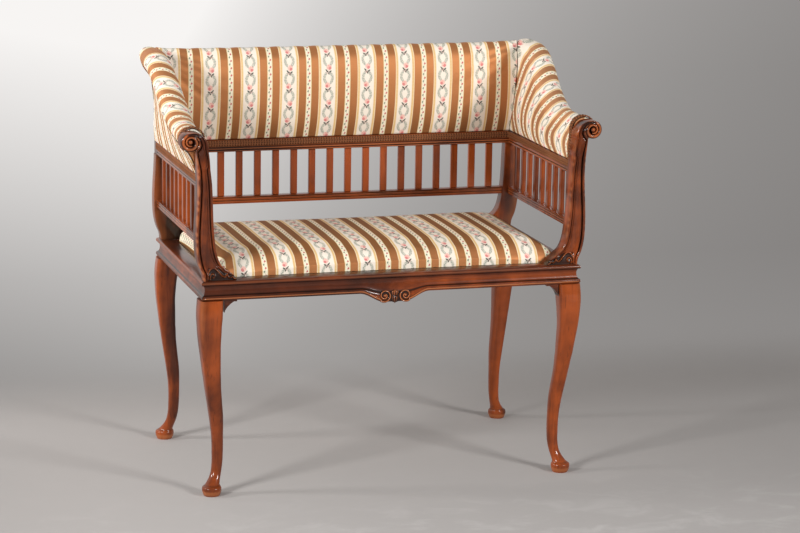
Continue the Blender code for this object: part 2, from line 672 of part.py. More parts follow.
def arm_section(y, growth=0.0):
    """Section of an arm at a depth: up the inner face, over the roll, and down the outer face to the rail."""
    out, up, radius = roll(y)
    inner = SIDE_PANEL_IN - growth
    outer = SIDE_PANEL_OUT - COVER_THICKNESS - GAP + growth
    radius += growth
    start = (inner, PAD_BOTTOM)
    rise = (up - PAD_BOTTOM) * FACE_PULL
    crown = (out - radius, up)
    points = bezier(start, (inner, PAD_BOTTOM + rise), (out - radius, up - rise), crown, FACE_STEPS)
    for i in range(1, ROLL_STEPS):
        angle = math.radians(180 - i * ROLL_WRAP / ROLL_STEPS)
        points.append((out + radius * math.cos(angle), up + radius * math.sin(angle)))
    last = math.radians(180 - ROLL_WRAP)
    tip = (out + radius * math.cos(last), up + radius * math.sin(last))
    pull = (tip[1] - PAD_BOTTOM) * FLANK_PULL
    leave = (tip[0] + pull * math.sin(last), tip[1] - pull * math.cos(last))
    points += bezier(tip, leave, (outer + COVER_BULGE, PAD_BOTTOM + pull), (outer, PAD_BOTTOM), FACE_STEPS)
    return points


def square_section(y, half):
    out, up, _ = roll(y)
    return [(out - half, up - half), (out + half, up - half), (out + half, up + half), (out - half, up + half)]


def standing(section, y, sign):
    return [(sign * x, y, z) for x, z in section]


def stations(low, high, count):
    return [low + (high - low) * i / (count - 1) for i in range(count)]


ARM_STATIONS = stations(ARM_FRONT + GAP, ARM_BACK, 14)


def arm_skin(y, growth):
    """The arm's section as lofted, straight between its stations, grown by a thickness."""
    i = min(max(int(np.searchsorted(ARM_STATIONS, y)), 1), len(ARM_STATIONS) - 1)
    low, high = ARM_STATIONS[i - 1:i + 1]
    share = (y - low) / (high - low)
    near = arm_section(low, growth)
    far = arm_section(high, growth)
    return [tuple(a[k] + (b[k] - a[k]) * share for k in (0, 1)) for a, b in zip(near, far)]


def batten_rings(half, run_out, sign):
    """Rings of the rail inside an arm's roll, and of its cutter when it is run out at both ends."""
    places = stations(ARM_FRONT + GAP, REAR_POST_FACE - GAP, 9)
    sections = [square_section(y, half) for y in places]
    places[0] -= run_out
    places[-1] += run_out
    return [standing(section, y, sign) for section, y in zip(sections, places)]


def arm_cutters(side, sign):
    """What the arm's padding is hollowed for: its batten, the rear post's neck and the crest rail's end."""
    clearance = GAP
    rings = batten_rings(BATTEN_SIDE / 2 + 2 * clearance, OVERRUN, sign)
    batten = loft(f"{side}_batten_cutter", rings, inner_wood("cutter"))
    neck = as_mesh(board(f"{side}_neck_cutter", mirrored(neck_outline(clearance), sign),
                         REAR_POST_FACE - clearance, REAR_POST_BACK + clearance, inner_wood("cutter")))
    crest_reach = neck_centre(CREST_TOP)
    xs = sorted((sign * (SIDE_PANEL_IN - 2 * OVERRUN), sign * crest_reach))
    crest = block(f"{side}_crest_cutter",
                  (xs[0], CREST_FRONT - clearance, CREST_TOP - CREST_HEIGHT - clearance),
                  (xs[1], CREST_FRONT + CREST_DEPTH + clearance, CREST_TOP + clearance), inner_wood("cutter"))
    return [as_cutter(cutter) for cutter in (batten, neck, crest)]


def cover_ring(y, sign):
    """Thin outer cover: from the upper rail to under the roll, outside the padding."""
    flank = arm_section(y)[1 - ROLL_FLANK:]
    ring = [(x + 3 * GAP, z) for x, z in flank] + [(x + GAP + COVER_THICKNESS, z) for x, z in flank[::-1]]
    return standing(ring, y, sign)


def arms():
    for side, sign in SIDES.items():
        name = f"{side}_arm_pad"
        rings = [standing(arm_section(y), y, sign) for y in ARM_STATIONS]
        pad = loft(name, rings, striped(name), smooth_shading=True)
        for cutter in arm_cutters(side, sign):
            cut(pad, cutter)
        name = f"{side}_arm_outside_cover"
        rings = [cover_ring(y, sign) for y in ARM_STATIONS]
        loft(name, rings, striped(name))
        name = f"{side}_arm_rail"
        loft(name, batten_rings(BATTEN_SIDE / 2, 0, sign), inner_wood(name))


# Back

def back_section():
    """Section of the back padding: depth and height, up the crowned front, over the roll, down the rear."""
    points = []
    for share, forward in BACK_FRONT_SHARES:
        points.append((BACK_PANEL_FRONT - forward * BACK_BULGE, PAD_BOTTOM + share * BACK_PAD_HEIGHT))
    for share, backward in BACK_REAR_SHARES:
        points.append((BACK_PANEL_REAR + backward * BACK_ROLL_REACH, PAD_BOTTOM + share * BACK_PAD_HEIGHT))
    return points


def arm_inner_face(y, z):
    """How far out an arm's inner face lies, at a depth and a height, up to a little over the roll's middle."""
    face = arm_skin(min(y, ARM_BACK), 0.0)[:ROLL_FLANK + 1]
    return float(np.interp(z, [point[1] for point in face], [point[0] for point in face]))


def back():
    rings = []
    for share in (-1.0, -0.5, 0.0, 0.5, 1.0):
        ring = []
        for y, z in back_section():
            reach = arm_inner_face(y, z) - CREASE
            ring.append((share * reach, y, z))
        rings.append(ring)
    pad = loft("back_pad", rings, striped("back_pad"), smooth_shading=True)
    crest_low = (-POST_OUT, CREST_FRONT - GAP, CREST_TOP - CREST_HEIGHT - GAP)
    crest_high = (POST_OUT, CREST_FRONT + CREST_DEPTH + GAP, CREST_TOP + GAP)
    cut(pad, as_cutter(block("crest_cutter", crest_low, crest_high, inner_wood("cutter"))))
    reach = neck_centre(CREST_TOP - CREST_HEIGHT) - NECK_WIDTH / 2 - GAP
    block("crest_rail", (-reach, CREST_FRONT, CREST_TOP - CREST_HEIGHT),
          (reach, CREST_FRONT + CREST_DEPTH, CREST_TOP), inner_wood("crest_rail"))
    cover_top = PAD_BOTTOM + BACK_REAR_SHARES[-2][0] * BACK_PAD_HEIGHT
    width = SIDE_PANEL_IN - 2 * GAP
    block("back_outside_cover", (-width, BACK_PANEL_REAR + GAP, PAD_BOTTOM),
          (width, BACK_PANEL_REAR + GAP + COVER_THICKNESS, cover_top - GAP), striped("back_outside_cover"))


# Braid

def braids():
    """Braid tacked along the lower edges of the upholstery and round the fronts of the arms."""
    top = UPPER_RAIL_TOP - GAP
    bottom = top - BRAID_WIDTH
    thick = BRAID_THICKNESS
    face_x = SIDE_PANEL_IN - GAP
    face_y = BACK_PANEL_FRONT - GAP
    front = FRONT_POST_BACK + GAP
    outline = [(-face_x, front), (-face_x, face_y), (face_x, face_y), (face_x, front), (face_x - thick, front),
               (face_x - thick, face_y - thick), (thick - face_x, face_y - thick), (thick - face_x, front)]
    rings = [[(x, y, z) for x, y in outline] for z in (bottom, top)]
    loft("inner_braid", rings, braid("inner_braid"))
    behind = BACK_PANEL_REAR + GAP
    block("back_outer_braid", (-face_x, behind, bottom), (face_x, behind + thick, top),
          braid("back_outer_braid"))
    for side, sign in SIDES.items():
        xs = sorted((sign * (SIDE_PANEL_OUT + GAP), sign * (SIDE_PANEL_OUT + GAP + thick)))
        name = f"{side}_outer_braid"
        block(name, (xs[0], front, bottom), (xs[1], REAR_POST_FACE - GAP, top), braid(name))
        name = f"{side}_arm_front_braid"
        rings = []
        for y in (ARM_FRONT + GAP, ARM_FRONT + GAP + BRAID_WIDTH / 2):
            inner = arm_skin(y, GAP)[:ROLL_END]
            outer = arm_skin(y, GAP + thick)[:ROLL_END]
            rings.append(standing(inner + outer[::-1], y, sign))
        loft(name, rings, braid(name))


# Drop-in seat

def cushion_ring(width, depth, corner, draw, z, count=32):
    """A rounded rectangle whose sides draw in between the corners."""
    ring = []
    for i in range(count):
        angle = 2 * math.pi * (i + 0.5) / count
        c = math.cos(angle)
        s = math.sin(angle)
        power = 2 / (2 + corner)
        x = math.copysign(abs(c) ** power, c)
        y = math.copysign(abs(s) ** power, s)
        in_x = draw * (1 - y * y)
        in_y = draw * (1 - x * x)
        ring.append(((width - in_x) * x, (depth - in_y) * y, z))
    return ring


def cushion():
    """A crowned pad: plump edges that rise fast, then a slow dome towards the middle."""
    width = SEAT_HALF_WIDTH + CUSHION_EDGE_OVER
    depth = SEAT_HALF_DEPTH + CUSHION_EDGE_OVER
    rings = []
    for inset, rise in CUSHION_SHARES:
        corner = CUSHION_CROWN_POWER + (CUSHION_EDGE_POWER - CUSHION_CROWN_POWER) * (1 - inset)
        draw = CUSHION_SIDE_IN * (1 - inset)
        z = CUSHION_BOTTOM + rise * CUSHION_CROWN
        rings.append(cushion_ring(width - inset * depth, depth * (1 - inset), corner, draw, z))
    return loft("seat_cushion", rings, striped("seat_cushion"), smooth_shading=True)


def drop_in_seat():
    bottom = LEDGE_TOP + GAP
    frame = block("slip_seat_frame", (-SEAT_HALF_WIDTH, -SEAT_HALF_DEPTH, bottom),
                  (SEAT_HALF_WIDTH, SEAT_HALF_DEPTH, SEAT_FRAME_TOP), inner_wood("slip_seat_frame"))
    inside_x = SEAT_HALF_WIDTH - SEAT_FRAME_WIDTH
    inside_y = SEAT_HALF_DEPTH - SEAT_FRAME_WIDTH
    cut(frame, as_cutter(block("seat_frame_cutter", (-inside_x, -inside_y, bottom - OVERRUN),
                               (inside_x, inside_y, SEAT_FRAME_TOP + OVERRUN), inner_wood("cutter"))))
    low = SEAT_FRAME_TOP + GAP
    block("seat_webbing", (WEBBING_MARGIN - SEAT_HALF_WIDTH, WEBBING_MARGIN - SEAT_HALF_DEPTH, low),
          (SEAT_HALF_WIDTH - WEBBING_MARGIN, SEAT_HALF_DEPTH - WEBBING_MARGIN, low + WEBBING_THICKNESS),
          new_material("seat_webbing", WEBBING_COLOUR, 0.85, 0.0))
    cushion()


clear_scene()
PIECES = new_collection("settee")
CUTTERS = new_collection("cutters")
ROOT = bpy.data.objects.new("settee_origin", None)
PIECES.objects.link(ROOT)
ROOT.location = (0, -footprint_middle(), 0)

seat_rails()
corner_blocks()
legs()
ears()
posts()
back_panel()
side_panels()
arms()
back()
braids()
drop_in_seat()
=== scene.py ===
"""Looks of a small upholstered hall settee: carved mahogany frame, striped cloth, braid, stage and camera."""

import math

import bmesh
import bpy
import numpy as np
from bpy.props import FloatProperty, FloatVectorProperty, IntProperty, PointerProperty
from mathutils import Matrix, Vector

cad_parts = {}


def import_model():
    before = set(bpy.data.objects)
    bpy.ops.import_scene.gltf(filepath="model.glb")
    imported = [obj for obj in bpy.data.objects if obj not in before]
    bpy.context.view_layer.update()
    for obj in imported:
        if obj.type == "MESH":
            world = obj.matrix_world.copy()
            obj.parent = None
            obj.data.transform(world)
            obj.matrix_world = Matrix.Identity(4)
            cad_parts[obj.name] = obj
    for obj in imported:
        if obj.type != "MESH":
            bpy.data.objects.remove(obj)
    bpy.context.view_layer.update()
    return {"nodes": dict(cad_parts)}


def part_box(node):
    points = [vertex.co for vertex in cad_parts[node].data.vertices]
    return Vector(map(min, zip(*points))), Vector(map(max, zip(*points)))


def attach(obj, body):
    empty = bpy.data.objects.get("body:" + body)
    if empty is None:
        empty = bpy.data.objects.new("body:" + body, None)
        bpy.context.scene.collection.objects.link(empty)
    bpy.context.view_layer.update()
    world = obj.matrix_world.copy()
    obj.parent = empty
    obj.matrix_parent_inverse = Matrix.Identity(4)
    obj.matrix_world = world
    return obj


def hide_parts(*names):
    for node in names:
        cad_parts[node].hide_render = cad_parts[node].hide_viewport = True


bl_info = {
    "name": "Hall settee looks",
    "version": (1, 0, 0),
    "blender": (4, 5, 0),
    "location": "3D View > Sidebar > Settee",
    "description": "Dresses the settee's frame in carved mahogany, striped cloth and braid, with a stage and a camera",
    "category": "Object",
}

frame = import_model()

# Places that the frame gives
RAIL_LOW, RAIL_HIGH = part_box("front_seat_rail")
BACK_RAIL_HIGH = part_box("back_seat_rail")[1]
HALF_WIDTH = RAIL_HIGH.x
NOSE_FRONT = RAIL_LOW.y
NOSE_BACK = BACK_RAIL_HIGH.y
MIDDLE = (NOSE_FRONT + NOSE_BACK) / 2
HALF_DEPTH = (NOSE_BACK - NOSE_FRONT) / 2
SEAT_TOP = RAIL_HIGH.z
SEAT_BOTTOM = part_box("back_seat_rail")[0].z
RAIL_WIDTH = 0.0365
LEDGE_WIDTH = 0.014
LEDGE_TOP = SEAT_TOP - 0.016
MOULDING_DEPTH = 0.007
APRON_DROP = 0.0185
APRON_REACH = 0.072
APRON_FLAT = 0.020
POST_LOW, POST_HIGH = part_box("front_right_post")
REAR_LOW, REAR_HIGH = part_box("rear_right_post")
POST_OUT = 0.397
POST_BASE = 0.0655
POST_RISE = 0.2725
SCROLL_X = POST_OUT + 0.0115
SCROLL_Z = SEAT_TOP + POST_RISE
SCROLL_RADIUS = 0.0180
SCROLL_SWEEP = 0.0217
UPPER_LOW, UPPER_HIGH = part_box("right_upper_rail")
LOWER_LOW, LOWER_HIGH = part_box("back_lower_rail")
PANEL_IN = UPPER_LOW.x
PANEL_OUT = UPPER_HIGH.x
BACK_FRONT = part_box("back_upper_rail")[0].y
BACK_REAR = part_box("back_upper_rail")[1].y
PAD_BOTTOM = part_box("back_pad")[0].z
BACK_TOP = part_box("back_pad")[1].z
ARM_FRONT = MIDDLE - HALF_DEPTH + 0.0375
ARM_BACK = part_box("right_arm_pad")[1].y
ROLL_OUT = 0.0310
ROLL_RISE = 0.1792
ROLL_RADIUS = 0.0282
SEAT_LOW, SEAT_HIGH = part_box("seat_cushion")
SIDES = {"left": -1, "right": 1}
CUSHION_WALL = 0.0009
BEND_START = 0.75
BEND_RADIUS = 0.65

# Tables of shares, as in the part: heights or depths first
MOULDING = np.array([(0.5, 0.0), (0.16, 0.03), (0.0, 0.12), (0.05, 0.185), (0.22, 0.205), (0.62, 0.215), (0.80, 0.27),
                     (1.0, 0.37), (0.99, 0.52), (0.88, 0.64), (0.62, 0.725), (0.26, 0.765), (0.06, 0.80),
                     (0.0, 0.87), (0.08, 0.945), (0.26, 0.972), (0.30, 1.0)])
LEG = np.array([(0.0, 0.0, 0.70, 0.0, 0.0), (0.018, 0.0, 0.83, 0.0, 0.0), (0.034, 0.0, 0.868, 0.0, 0.0),
                (0.0455, -0.02, 0.81, 0.0, 0.0), (0.053, -0.10, 0.639, 0.0, 0.0), (0.070, -0.32, 0.523, 0.0, 0.0),
                (0.10, -0.66, 0.44, 0.05, 0.0), (0.15, -0.93, 0.44, 0.1, 0.0), (0.21, -1.0, 0.458, 0.15, 0.0),
                (0.30, -0.97, 0.49, 0.2, 0.03), (0.40, -0.77, 0.588, 0.25, 0.08), (0.48, -0.48, 0.63, 0.35, 0.10),
                (0.555, -0.22, 0.678, 0.4, 0.12), (0.63, 0.0, 0.736, 0.5, 0.105), (0.707, 0.5, 0.802, 0.6, 0.10),
                (0.782, 1.0, 0.876, 0.7, 0.107), (0.833, 1.1, 0.934, 0.75, 0.10), (0.87, 1.1, 0.955, 0.8, 0.08),
                (0.91, 1.0, 1.0, 0.85, 0.075), (0.95, 0.85, 1.0, 0.9, 0.07), (1.0, 0.55, 0.98, 0.9, 0.07)])
POST_OUTER = np.array([(0.0, 0.225), (0.04, 0.205), (0.10, 0.105), (0.18, 0.03), (0.30, 0.0), (0.42, 0.012),
                       (0.55, 0.045), (0.70, 0.062), (0.80, 0.040), (0.86, 0.015)])
POST_WIDTH = np.array([(0.0, 0.995), (0.03, 0.93), (0.07, 0.80), (0.105, 0.68), (0.14, 0.625), (0.20, 0.585),
                       (0.30, 0.545), (0.42, 0.495), (0.55, 0.445), (0.70, 0.40), (0.80, 0.375), (0.86, 0.37)])
ROLL = np.array([(0.0, 0.832, 0.370, 0.80), (0.12, 0.745, 0.378, 0.84), (0.25, 0.640, 0.394, 0.90),
                 (0.37, 0.665, 0.475, 0.965), (0.48, 0.735, 0.600, 1.0), (0.60, 0.870, 0.805, 0.975),
                 (0.72, 0.985, 0.950, 0.955), (0.85, 1.010, 0.985, 0.900), (0.93, 1.040, 0.995, 0.780),
                 (1.0, 1.065, 1.0, 0.590)])
BACK = np.array([(0.0, 0.0), (0.0, 0.08), (0.08, 0.30), (0.20, 0.62), (0.38, 0.90), (0.55, 1.0), (0.72, 0.97),
                 (0.86, 0.80), (0.94, 0.56), (0.985, 0.25), (1.0, -0.08)])
CUSHION = np.array([(0.0, 0.0), (0.016, 0.26), (0.042, 0.45), (0.09, 0.65), (0.17, 0.81), (0.276, 0.90),
                    (0.425, 0.955), (0.637, 0.99), (1.0, 1.0)])


# Settings that a user would change

def colour(name, text, value):
    return FloatVectorProperty(name=name, description=text, subtype="COLOR", size=3, min=0, max=1, default=value)


class SetteeCloth(bpy.types.PropertyGroup):
    """Striped cloth of the seat, back and arms."""
    repeat: FloatProperty(name="Stripe repeat", description="Width of one set of stripes", unit="LENGTH",
                          default=0.083, min=0.01)
    rose_step: FloatProperty(name="Rose step", description="From one rose to the next along the stripe",
                             unit="LENGTH", default=0.0378, min=0.005)
    back_shift: FloatProperty(name="Back shift", description="Stripes across the back", unit="LENGTH",
                              default=-0.0493)
    seat_shift: FloatProperty(name="Seat shift", description="Stripes across the seat", unit="LENGTH",
                              default=0.0385)
    swell: FloatProperty(name="Swell", description="Most that the stuffing lifts the cloth", unit="LENGTH",
                         default=0.0030, min=0)
    cream: colour("Cream", "Ground of the flowered stripes", (0.875, 0.785, 0.675))
    gold: colour("Gold", "Lines beside the wide stripe", (0.70, 0.42, 0.14))
    copper: colour("Copper", "Plain satin stripes", (0.56, 0.232, 0.090))
    rose: colour("Rose", "Heart of the roses", (0.62, 0.12, 0.13))
    petal: colour("Petal", "Outer petals", (0.86, 0.50, 0.42))
    leaf: colour("Leaf", "Dark leaves under the roses", (0.045, 0.055, 0.04))
    garland: colour("Garland", "Grey green of the ovals", (0.36, 0.39, 0.315))


class SetteeWood(bpy.types.PropertyGroup):
    """Mahogany of the frame."""
    dark: colour("Dark", "Deep figure of the wood", (0.016, 0.0055, 0.0030))
    middle: colour("Middle", "Body of the wood", (0.092, 0.0180, 0.0046))
    light: colour("Light", "Pale figure of the wood", (0.33, 0.064, 0.0110))
    # Worn also serves as painted highlight on carved ridges and bead crests
    worn: colour("Worn", "Edges rubbed through", (0.42, 0.135, 0.045))
    roughness: FloatProperty(name="Roughness", description="Of the polish", default=0.30, min=0, max=1,
                             subtype="FACTOR")


class SetteeBraid(bpy.types.PropertyGroup):
    """Woven braid along the cloth's edges."""
    step: FloatProperty(name="Loop step", description="From one loop to the next", unit="LENGTH", default=0.0056,
                        min=0.002)
    tone: colour("Thread", "Copper brown thread", (0.21, 0.074, 0.028))
    shade: colour("Gaps", "Between the threads", (0.020, 0.007, 0.003))


class SetteeStage(bpy.types.PropertyGroup):
    """Floor, backdrop and lamps."""
    floor: colour("Floor", "Painted floor under the settee", (0.432, 0.407, 0.391))
    wall: colour("Wall", "Backdrop, as bright as it shows where no lamp reaches it", (0.214, 0.203, 0.197))
    glow: colour("Glow", "What a lamp adds to the backdrop at the upper left", (0.715, 0.705, 0.695))
    left: FloatProperty(name="Left lamp", description="Lamp at the front left, in watts", default=124.0, min=0)
    right: FloatProperty(name="Right lamp", description="Lamp at the front right, in watts", default=116.0, min=0)
    side: FloatProperty(name="Side lamp", description="Lamp at the far left, in watts", default=56.0, min=0)
    around: FloatProperty(name="Around", description="Light from all sides", default=0.25, min=0)


# Numbers to shapes

def ease(share):
    share = np.clip(share, 0.0, 1.0)
    return share * share * (3 - 2 * share)


def flow(table, at, column=1, by=0):
    """A column of a table at many places, on a Hermite curve whose slopes come from each row's neighbours."""
    xs, ys = table[:, by], table[:, column]
    slopes = np.gradient(ys, xs)
    at = np.clip(np.asarray(at, float), xs[0], xs[-1])
    i = np.clip(np.searchsorted(xs, at) - 1, 0, len(xs) - 2)
    span = xs[i + 1] - xs[i]
    t = (at - xs[i]) / span
    return (ys[i] * (1 + 2 * t) * (1 - t) ** 2 + slopes[i] * span * t * (1 - t) ** 2
            + ys[i + 1] * t * t * (3 - 2 * t) + slopes[i + 1] * span * t * t * (t - 1))


def run_of(points):
    """Distance along a line of points, from its start."""
    steps = np.linalg.norm(np.diff(points, axis=0), axis=1)
    return np.concatenate([[0.0], np.cumsum(steps)])


def spread(points, count):
    """A line's points set out evenly along it."""
    run = run_of(points)
    even = np.linspace(0, run[-1], count)
    return np.stack([np.interp(even, run, points[:, k]) for k in range(points.shape[1])], axis=1)


def softened(points, count):
    """A smooth line near a few points: a parabola over each run of three, joined half way, then set out evenly."""
    points = np.asarray(points, float)
    middles = (points[:-1] + points[1:]) / 2
    t = np.linspace(0, 1, 9)[:-1, None]
    curves = [(1 - t) ** 2 * a + 2 * t * (1 - t) * b + t * t * c
              for a, b, c in zip(middles[:-1], points[1:-1], middles[1:])]
    return spread(np.concatenate([points[:1]] + curves + [middles[-1:], points[-1:]]), count)


def near_line(across, up, line):
    """Distance of each point of a grid to a line of points."""
    best = np.full(across.shape, 1e9)
    for a, b in zip(line[:-1], line[1:]):
        d = b - a
        t = np.clip(((across - a[0]) * d[0] + (up - a[1]) * d[1]) / (d @ d), 0, 1)
        best = np.minimum(best, np.hypot(across - a[0] - t * d[0], up - a[1] - t * d[1]))
    return best


def along_first(line):
    """Unit direction of a line at each of its points."""
    d = np.gradient(line, axis=0)
    return d / np.linalg.norm(d, axis=1)[:, None]


def grid_mesh(name, points, around=False, ends=False, cloth=None, marks=None, sharp=None):
    """Quads on a grid of points (rows, columns, 3). 'around' joins the last column to the first, and 'ends' closes
    the first and last rows. 'cloth' is a UV for each point, and 'marks' are named values for each point."""
    rows, columns = points.shape[:2]
    index = np.arange(rows * columns).reshape(rows, columns)
    ring = np.concatenate([index, index[:, :1]], axis=1) if around else index
    quads = np.stack([ring[:-1, :-1], ring[:-1, 1:], ring[1:, 1:], ring[1:, :-1]], axis=-1).reshape(-1, 4)
    faces = quads.tolist()
    if ends:
        faces += [index[0, ::-1].tolist(), index[-1].tolist()]
    mesh = bpy.data.meshes.new(name)
    mesh.from_pydata(points.reshape(-1, 3).tolist(), [], faces)
    for key, values in (marks or {}).items():
        mark = mesh.attributes.new(key, "FLOAT", "POINT")
        mark.data.foreach_set("value", np.asarray(values, np.float32).ravel())
    outward(mesh)
    if cloth is not None:
        corners = np.zeros(len(mesh.loops), np.int64)
        mesh.loops.foreach_get("vertex_index", corners)
        layer = mesh.uv_layers.new(name="cloth")
        layer.data.foreach_set("uv", np.asarray(cloth, np.float32).reshape(-1, 2)[corners].ravel())
    mesh.shade_smooth()
    if sharp:
        mesh.set_sharp_from_angle(angle=math.radians(sharp))
    return mesh


def outward(mesh):
    shape = bmesh.new()
    shape.from_mesh(mesh)
    bmesh.ops.recalc_face_normals(shape, faces=shape.faces)
    shape.to_mesh(mesh)
    shape.free()


def joined(name, meshes):
    """Several meshes in one, each still a closed shell of its own."""
    shape = bmesh.new()
    for mesh in meshes:
        shape.from_mesh(mesh)
        bpy.data.meshes.remove(mesh)
    mesh = bpy.data.meshes.new(name)
    shape.to_mesh(mesh)
    shape.free()
    return mesh


def mirrored(points, sign):
    return points * np.array([sign, 1.0, 1.0])


def add_piece(name, mesh, material, stands_for=(), body="frame"):
    mesh.name = name
    mesh.materials.clear()
    mesh.materials.append(material)
    piece = bpy.data.objects.new(name, mesh)
    bpy.context.scene.collection.objects.link(piece)
    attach(piece, body)
    if stands_for:
        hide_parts(*stands_for)
    return piece


def finish_node(node, material):
    """A CAD node whose shape is right keeps it and gets a better finish."""
    piece = frame["nodes"][node]
    for place in piece.material_slots:
        place.material = material


# Materials

class Socket:
    """A shader socket whose operators add Math nodes."""

    def __init__(self, paint, out):
        self.paint = paint
        self.out = out

    def math(self, operation, *others):
        return self.paint.node("Math", {"operation": operation}, [self, *others])

    def __add__(self, other):
        return self.math("ADD", other)

    def __sub__(self, other):
        return self.math("SUBTRACT", other)

    def __mul__(self, other):
        return self.math("MULTIPLY", other)

    def __truediv__(self, other):
        return self.math("DIVIDE", other)

    def __pow__(self, other):
        return self.math("POWER", other)

    __radd__ = __add__
    __rmul__ = __mul__

    def __rsub__(self, other):
        return self.paint.node("Math", {"operation": "SUBTRACT"}, [other, self])

    def __abs__(self):
        return self.math("ABSOLUTE")

    def low(self, other):
        return self.math("MINIMUM", other)

    def high(self, other):
        return self.math("MAXIMUM", other)

    def part(self):
        return self.math("FRACT")

    def wave(self):
        return self.math("SINE")

    def rises(self, start, end):
        """0 before start, 1 after end, smooth between."""
        return self.paint.node("MapRange", {"interpolation_type": "SMOOTHSTEP"},
                               {"Value": self, "From Min": start, "From Max": end})

    def falls(self, start, end):
        return 1 - self.rises(start, end)


class Paint:
    """A material with one Principled shader, and a way to add nodes to it."""

    def __init__(self, name, **fixed):
        self.material = bpy.data.materials.new(name)
        self.material.use_nodes = True
        self.tree = self.material.node_tree
        self.shader = self.tree.nodes["Principled BSDF"]
        for key, value in fixed.items():
            self.shader.inputs[key.replace("_", " ")].default_value = value

    def node(self, kind, settings=None, values=(), out=0):
        made = self.tree.nodes.new("ShaderNode" + kind)
        for key, value in (settings or {}).items():
            if key == "stops":
                self.stops(made.color_ramp, value)
            else:
                setattr(made, key, value)
        pairs = values.items() if isinstance(values, dict) else enumerate(values)
        for key, value in pairs:
            if isinstance(value, Socket):
                self.tree.links.new(value.out, made.inputs[key])
            else:
                made.inputs[key].default_value = value
        return Socket(self, made.outputs[out])

    def stops(self, ramp, stops):
        while len(ramp.elements) < len(stops):
            ramp.elements.new(0.5)
        for element, (at, value) in zip(ramp.elements, stops):
            element.position = at
            element.color = (*value, 1.0)

    def mix(self, share, a, b, blend="MIX"):
        """A colour between a and b."""
        a, b = [value if isinstance(value, Socket) else (*value, 1.0) for value in (a, b)]
        return self.node("Mix", {"data_type": "RGBA", "blend_type": blend}, {0: share, 6: a, 7: b}, out=2)

    def place(self, scale=(1, 1, 1), turn=(0, 0, 0)):
        """Object coordinates, stretched and turned."""
        at = self.node("TexCoord", out="Object")
        return self.node("Mapping", {"vector_type": "POINT"}, {"Vector": at, "Scale": scale, "Rotation": turn})

    def noise(self, at, scale=1.0, detail=3.0, roughness=0.5, distortion=0.0):
        return self.node("TexNoise", None, {"Vector": at, "Scale": scale, "Detail": detail,
                                            "Roughness": roughness, "Distortion": distortion})

    def mark(self, name):
        return self.node("Attribute", {"attribute_name": name}, out="Fac")

    def parts(self, vector):
        """The three numbers of a vector."""
        split = self.node("SeparateXYZ", None, [vector])
        return [Socket(self, out) for out in split.out.node.outputs]

    def vector(self, x, y, z=0.0):
        return self.node("CombineXYZ", None, [x, y, z])

    def feed(self, **links):
        for key, value in links.items():
            self.tree.links.new(value.out, self.shader.inputs[key.replace("_", " ")])
        return self.material

    def bump(self, height, distance, strength=1.0):
        return self.node("Bump", None, {"Height": height, "Distance": distance, "Strength": strength},
                         out="Normal")


def mahogany(name, grain=2, tone=0.5, worked=False, calm=1.0, rubbed_and_lit=0.85):
    """Polished mahogany: streaks along the grain axis, fine pores, and on worked pieces two marks of the mesh: one
    lightens towards the worn colour, for rubbed edges and for painted highlights on carved ridges and bead crests; the
    other darkens towards near black, for grime and for painted shade in grooves, hollows and creases.
    """
    wood = bpy.context.scene.settee_wood
    paint = Paint(name, Coat_Weight=0.65, Coat_Roughness=0.13, Coat_IOR=1.5, IOR=1.5, Specular_IOR_Level=0.06)
    stretch = [22.0, 22.0, 22.0]
    stretch[grain] = 1.6
    fine = [260.0, 260.0, 260.0]
    fine[grain] = 9.0
    streak = paint.noise(paint.place(stretch), 1.0, 5.0, 0.62, 0.8)
    broad = paint.noise(paint.place([value * 0.32 for value in stretch]), 1.0, 2.0, 0.5, 0.4)
    pore = paint.noise(paint.place(fine), 1.0, 2.0, 0.6)
    patina = paint.noise(paint.place([17.0, 17.0, 17.0]), 1.0, 3.0, 0.55)
    figure = (streak - 0.5) * (0.95 * calm) + (broad - 0.5) * (0.80 * calm) + (patina - 0.5) * (0.55 * calm) + tone
    body = paint.node("ValToRGB", {"stops": [(0.22, wood.dark), (0.47, wood.middle), (0.74, wood.light)]}, [figure])
    body = paint.mix(pore.rises(0.58, 0.74) * 0.45, body, wood.dark)
    roughness = wood.roughness + pore * 0.10
    if worked:
        wear = (paint.mark("wear") * (0.35 + streak * 1.3)).rises(0.25, 0.85)
        # Worn colour: rubbed edges, and painted highlight on carved ridges and bead crests
        body = paint.mix(wear * rubbed_and_lit, body, wood.worn)
        dirt = paint.mark("dirt").rises(0.15, 0.95)
        # Near black: grime, and painted shade in grooves, hollows and creases
        body = paint.mix(dirt * 0.90, body, (0.009, 0.004, 0.0025))
        roughness = roughness + dirt * 0.12 + wear * 0.10
    normal = paint.bump(pore * 0.6 + streak * 0.4, 0.00025, 0.35)
    return paint.feed(Base_Color=body, Roughness=roughness, Normal=normal)


def inner_wood(name, grain=0):
    """Plain sawn beech, unpolished."""
    paint = Paint(name)
    stretch = [30.0, 30.0, 30.0]
    stretch[grain] = 2.0
    streak = paint.noise(paint.place(stretch), 1.0, 5.0, 0.6, 0.5)
    saw = paint.noise(paint.place([300.0, 300.0, 300.0]), 1.0, 2.0)
    body = paint.node("ValToRGB", {"stops": [(0.3, (0.24, 0.13, 0.06)), (0.7, (0.46, 0.29, 0.15))]}, [streak])
    return paint.feed(Base_Color=body, Roughness=0.72 + saw * 0.15, Normal=paint.bump(saw, 0.0003, 0.5))


def spot(a, b, centre, size, turn=0.0):
    """1 inside an oval of the pattern, in millimetres, fading over its edge: the squared distance over its radii."""
    c, s = math.cos(math.radians(turn)), math.sin(math.radians(turn))
    da = a - centre[0]
    db = b - centre[1]
    p = (da * c + db * s) / size[0]
    q = (db * c - da * s) / size[1]
    return (p * p + q * q).falls(0.62, 1.35)


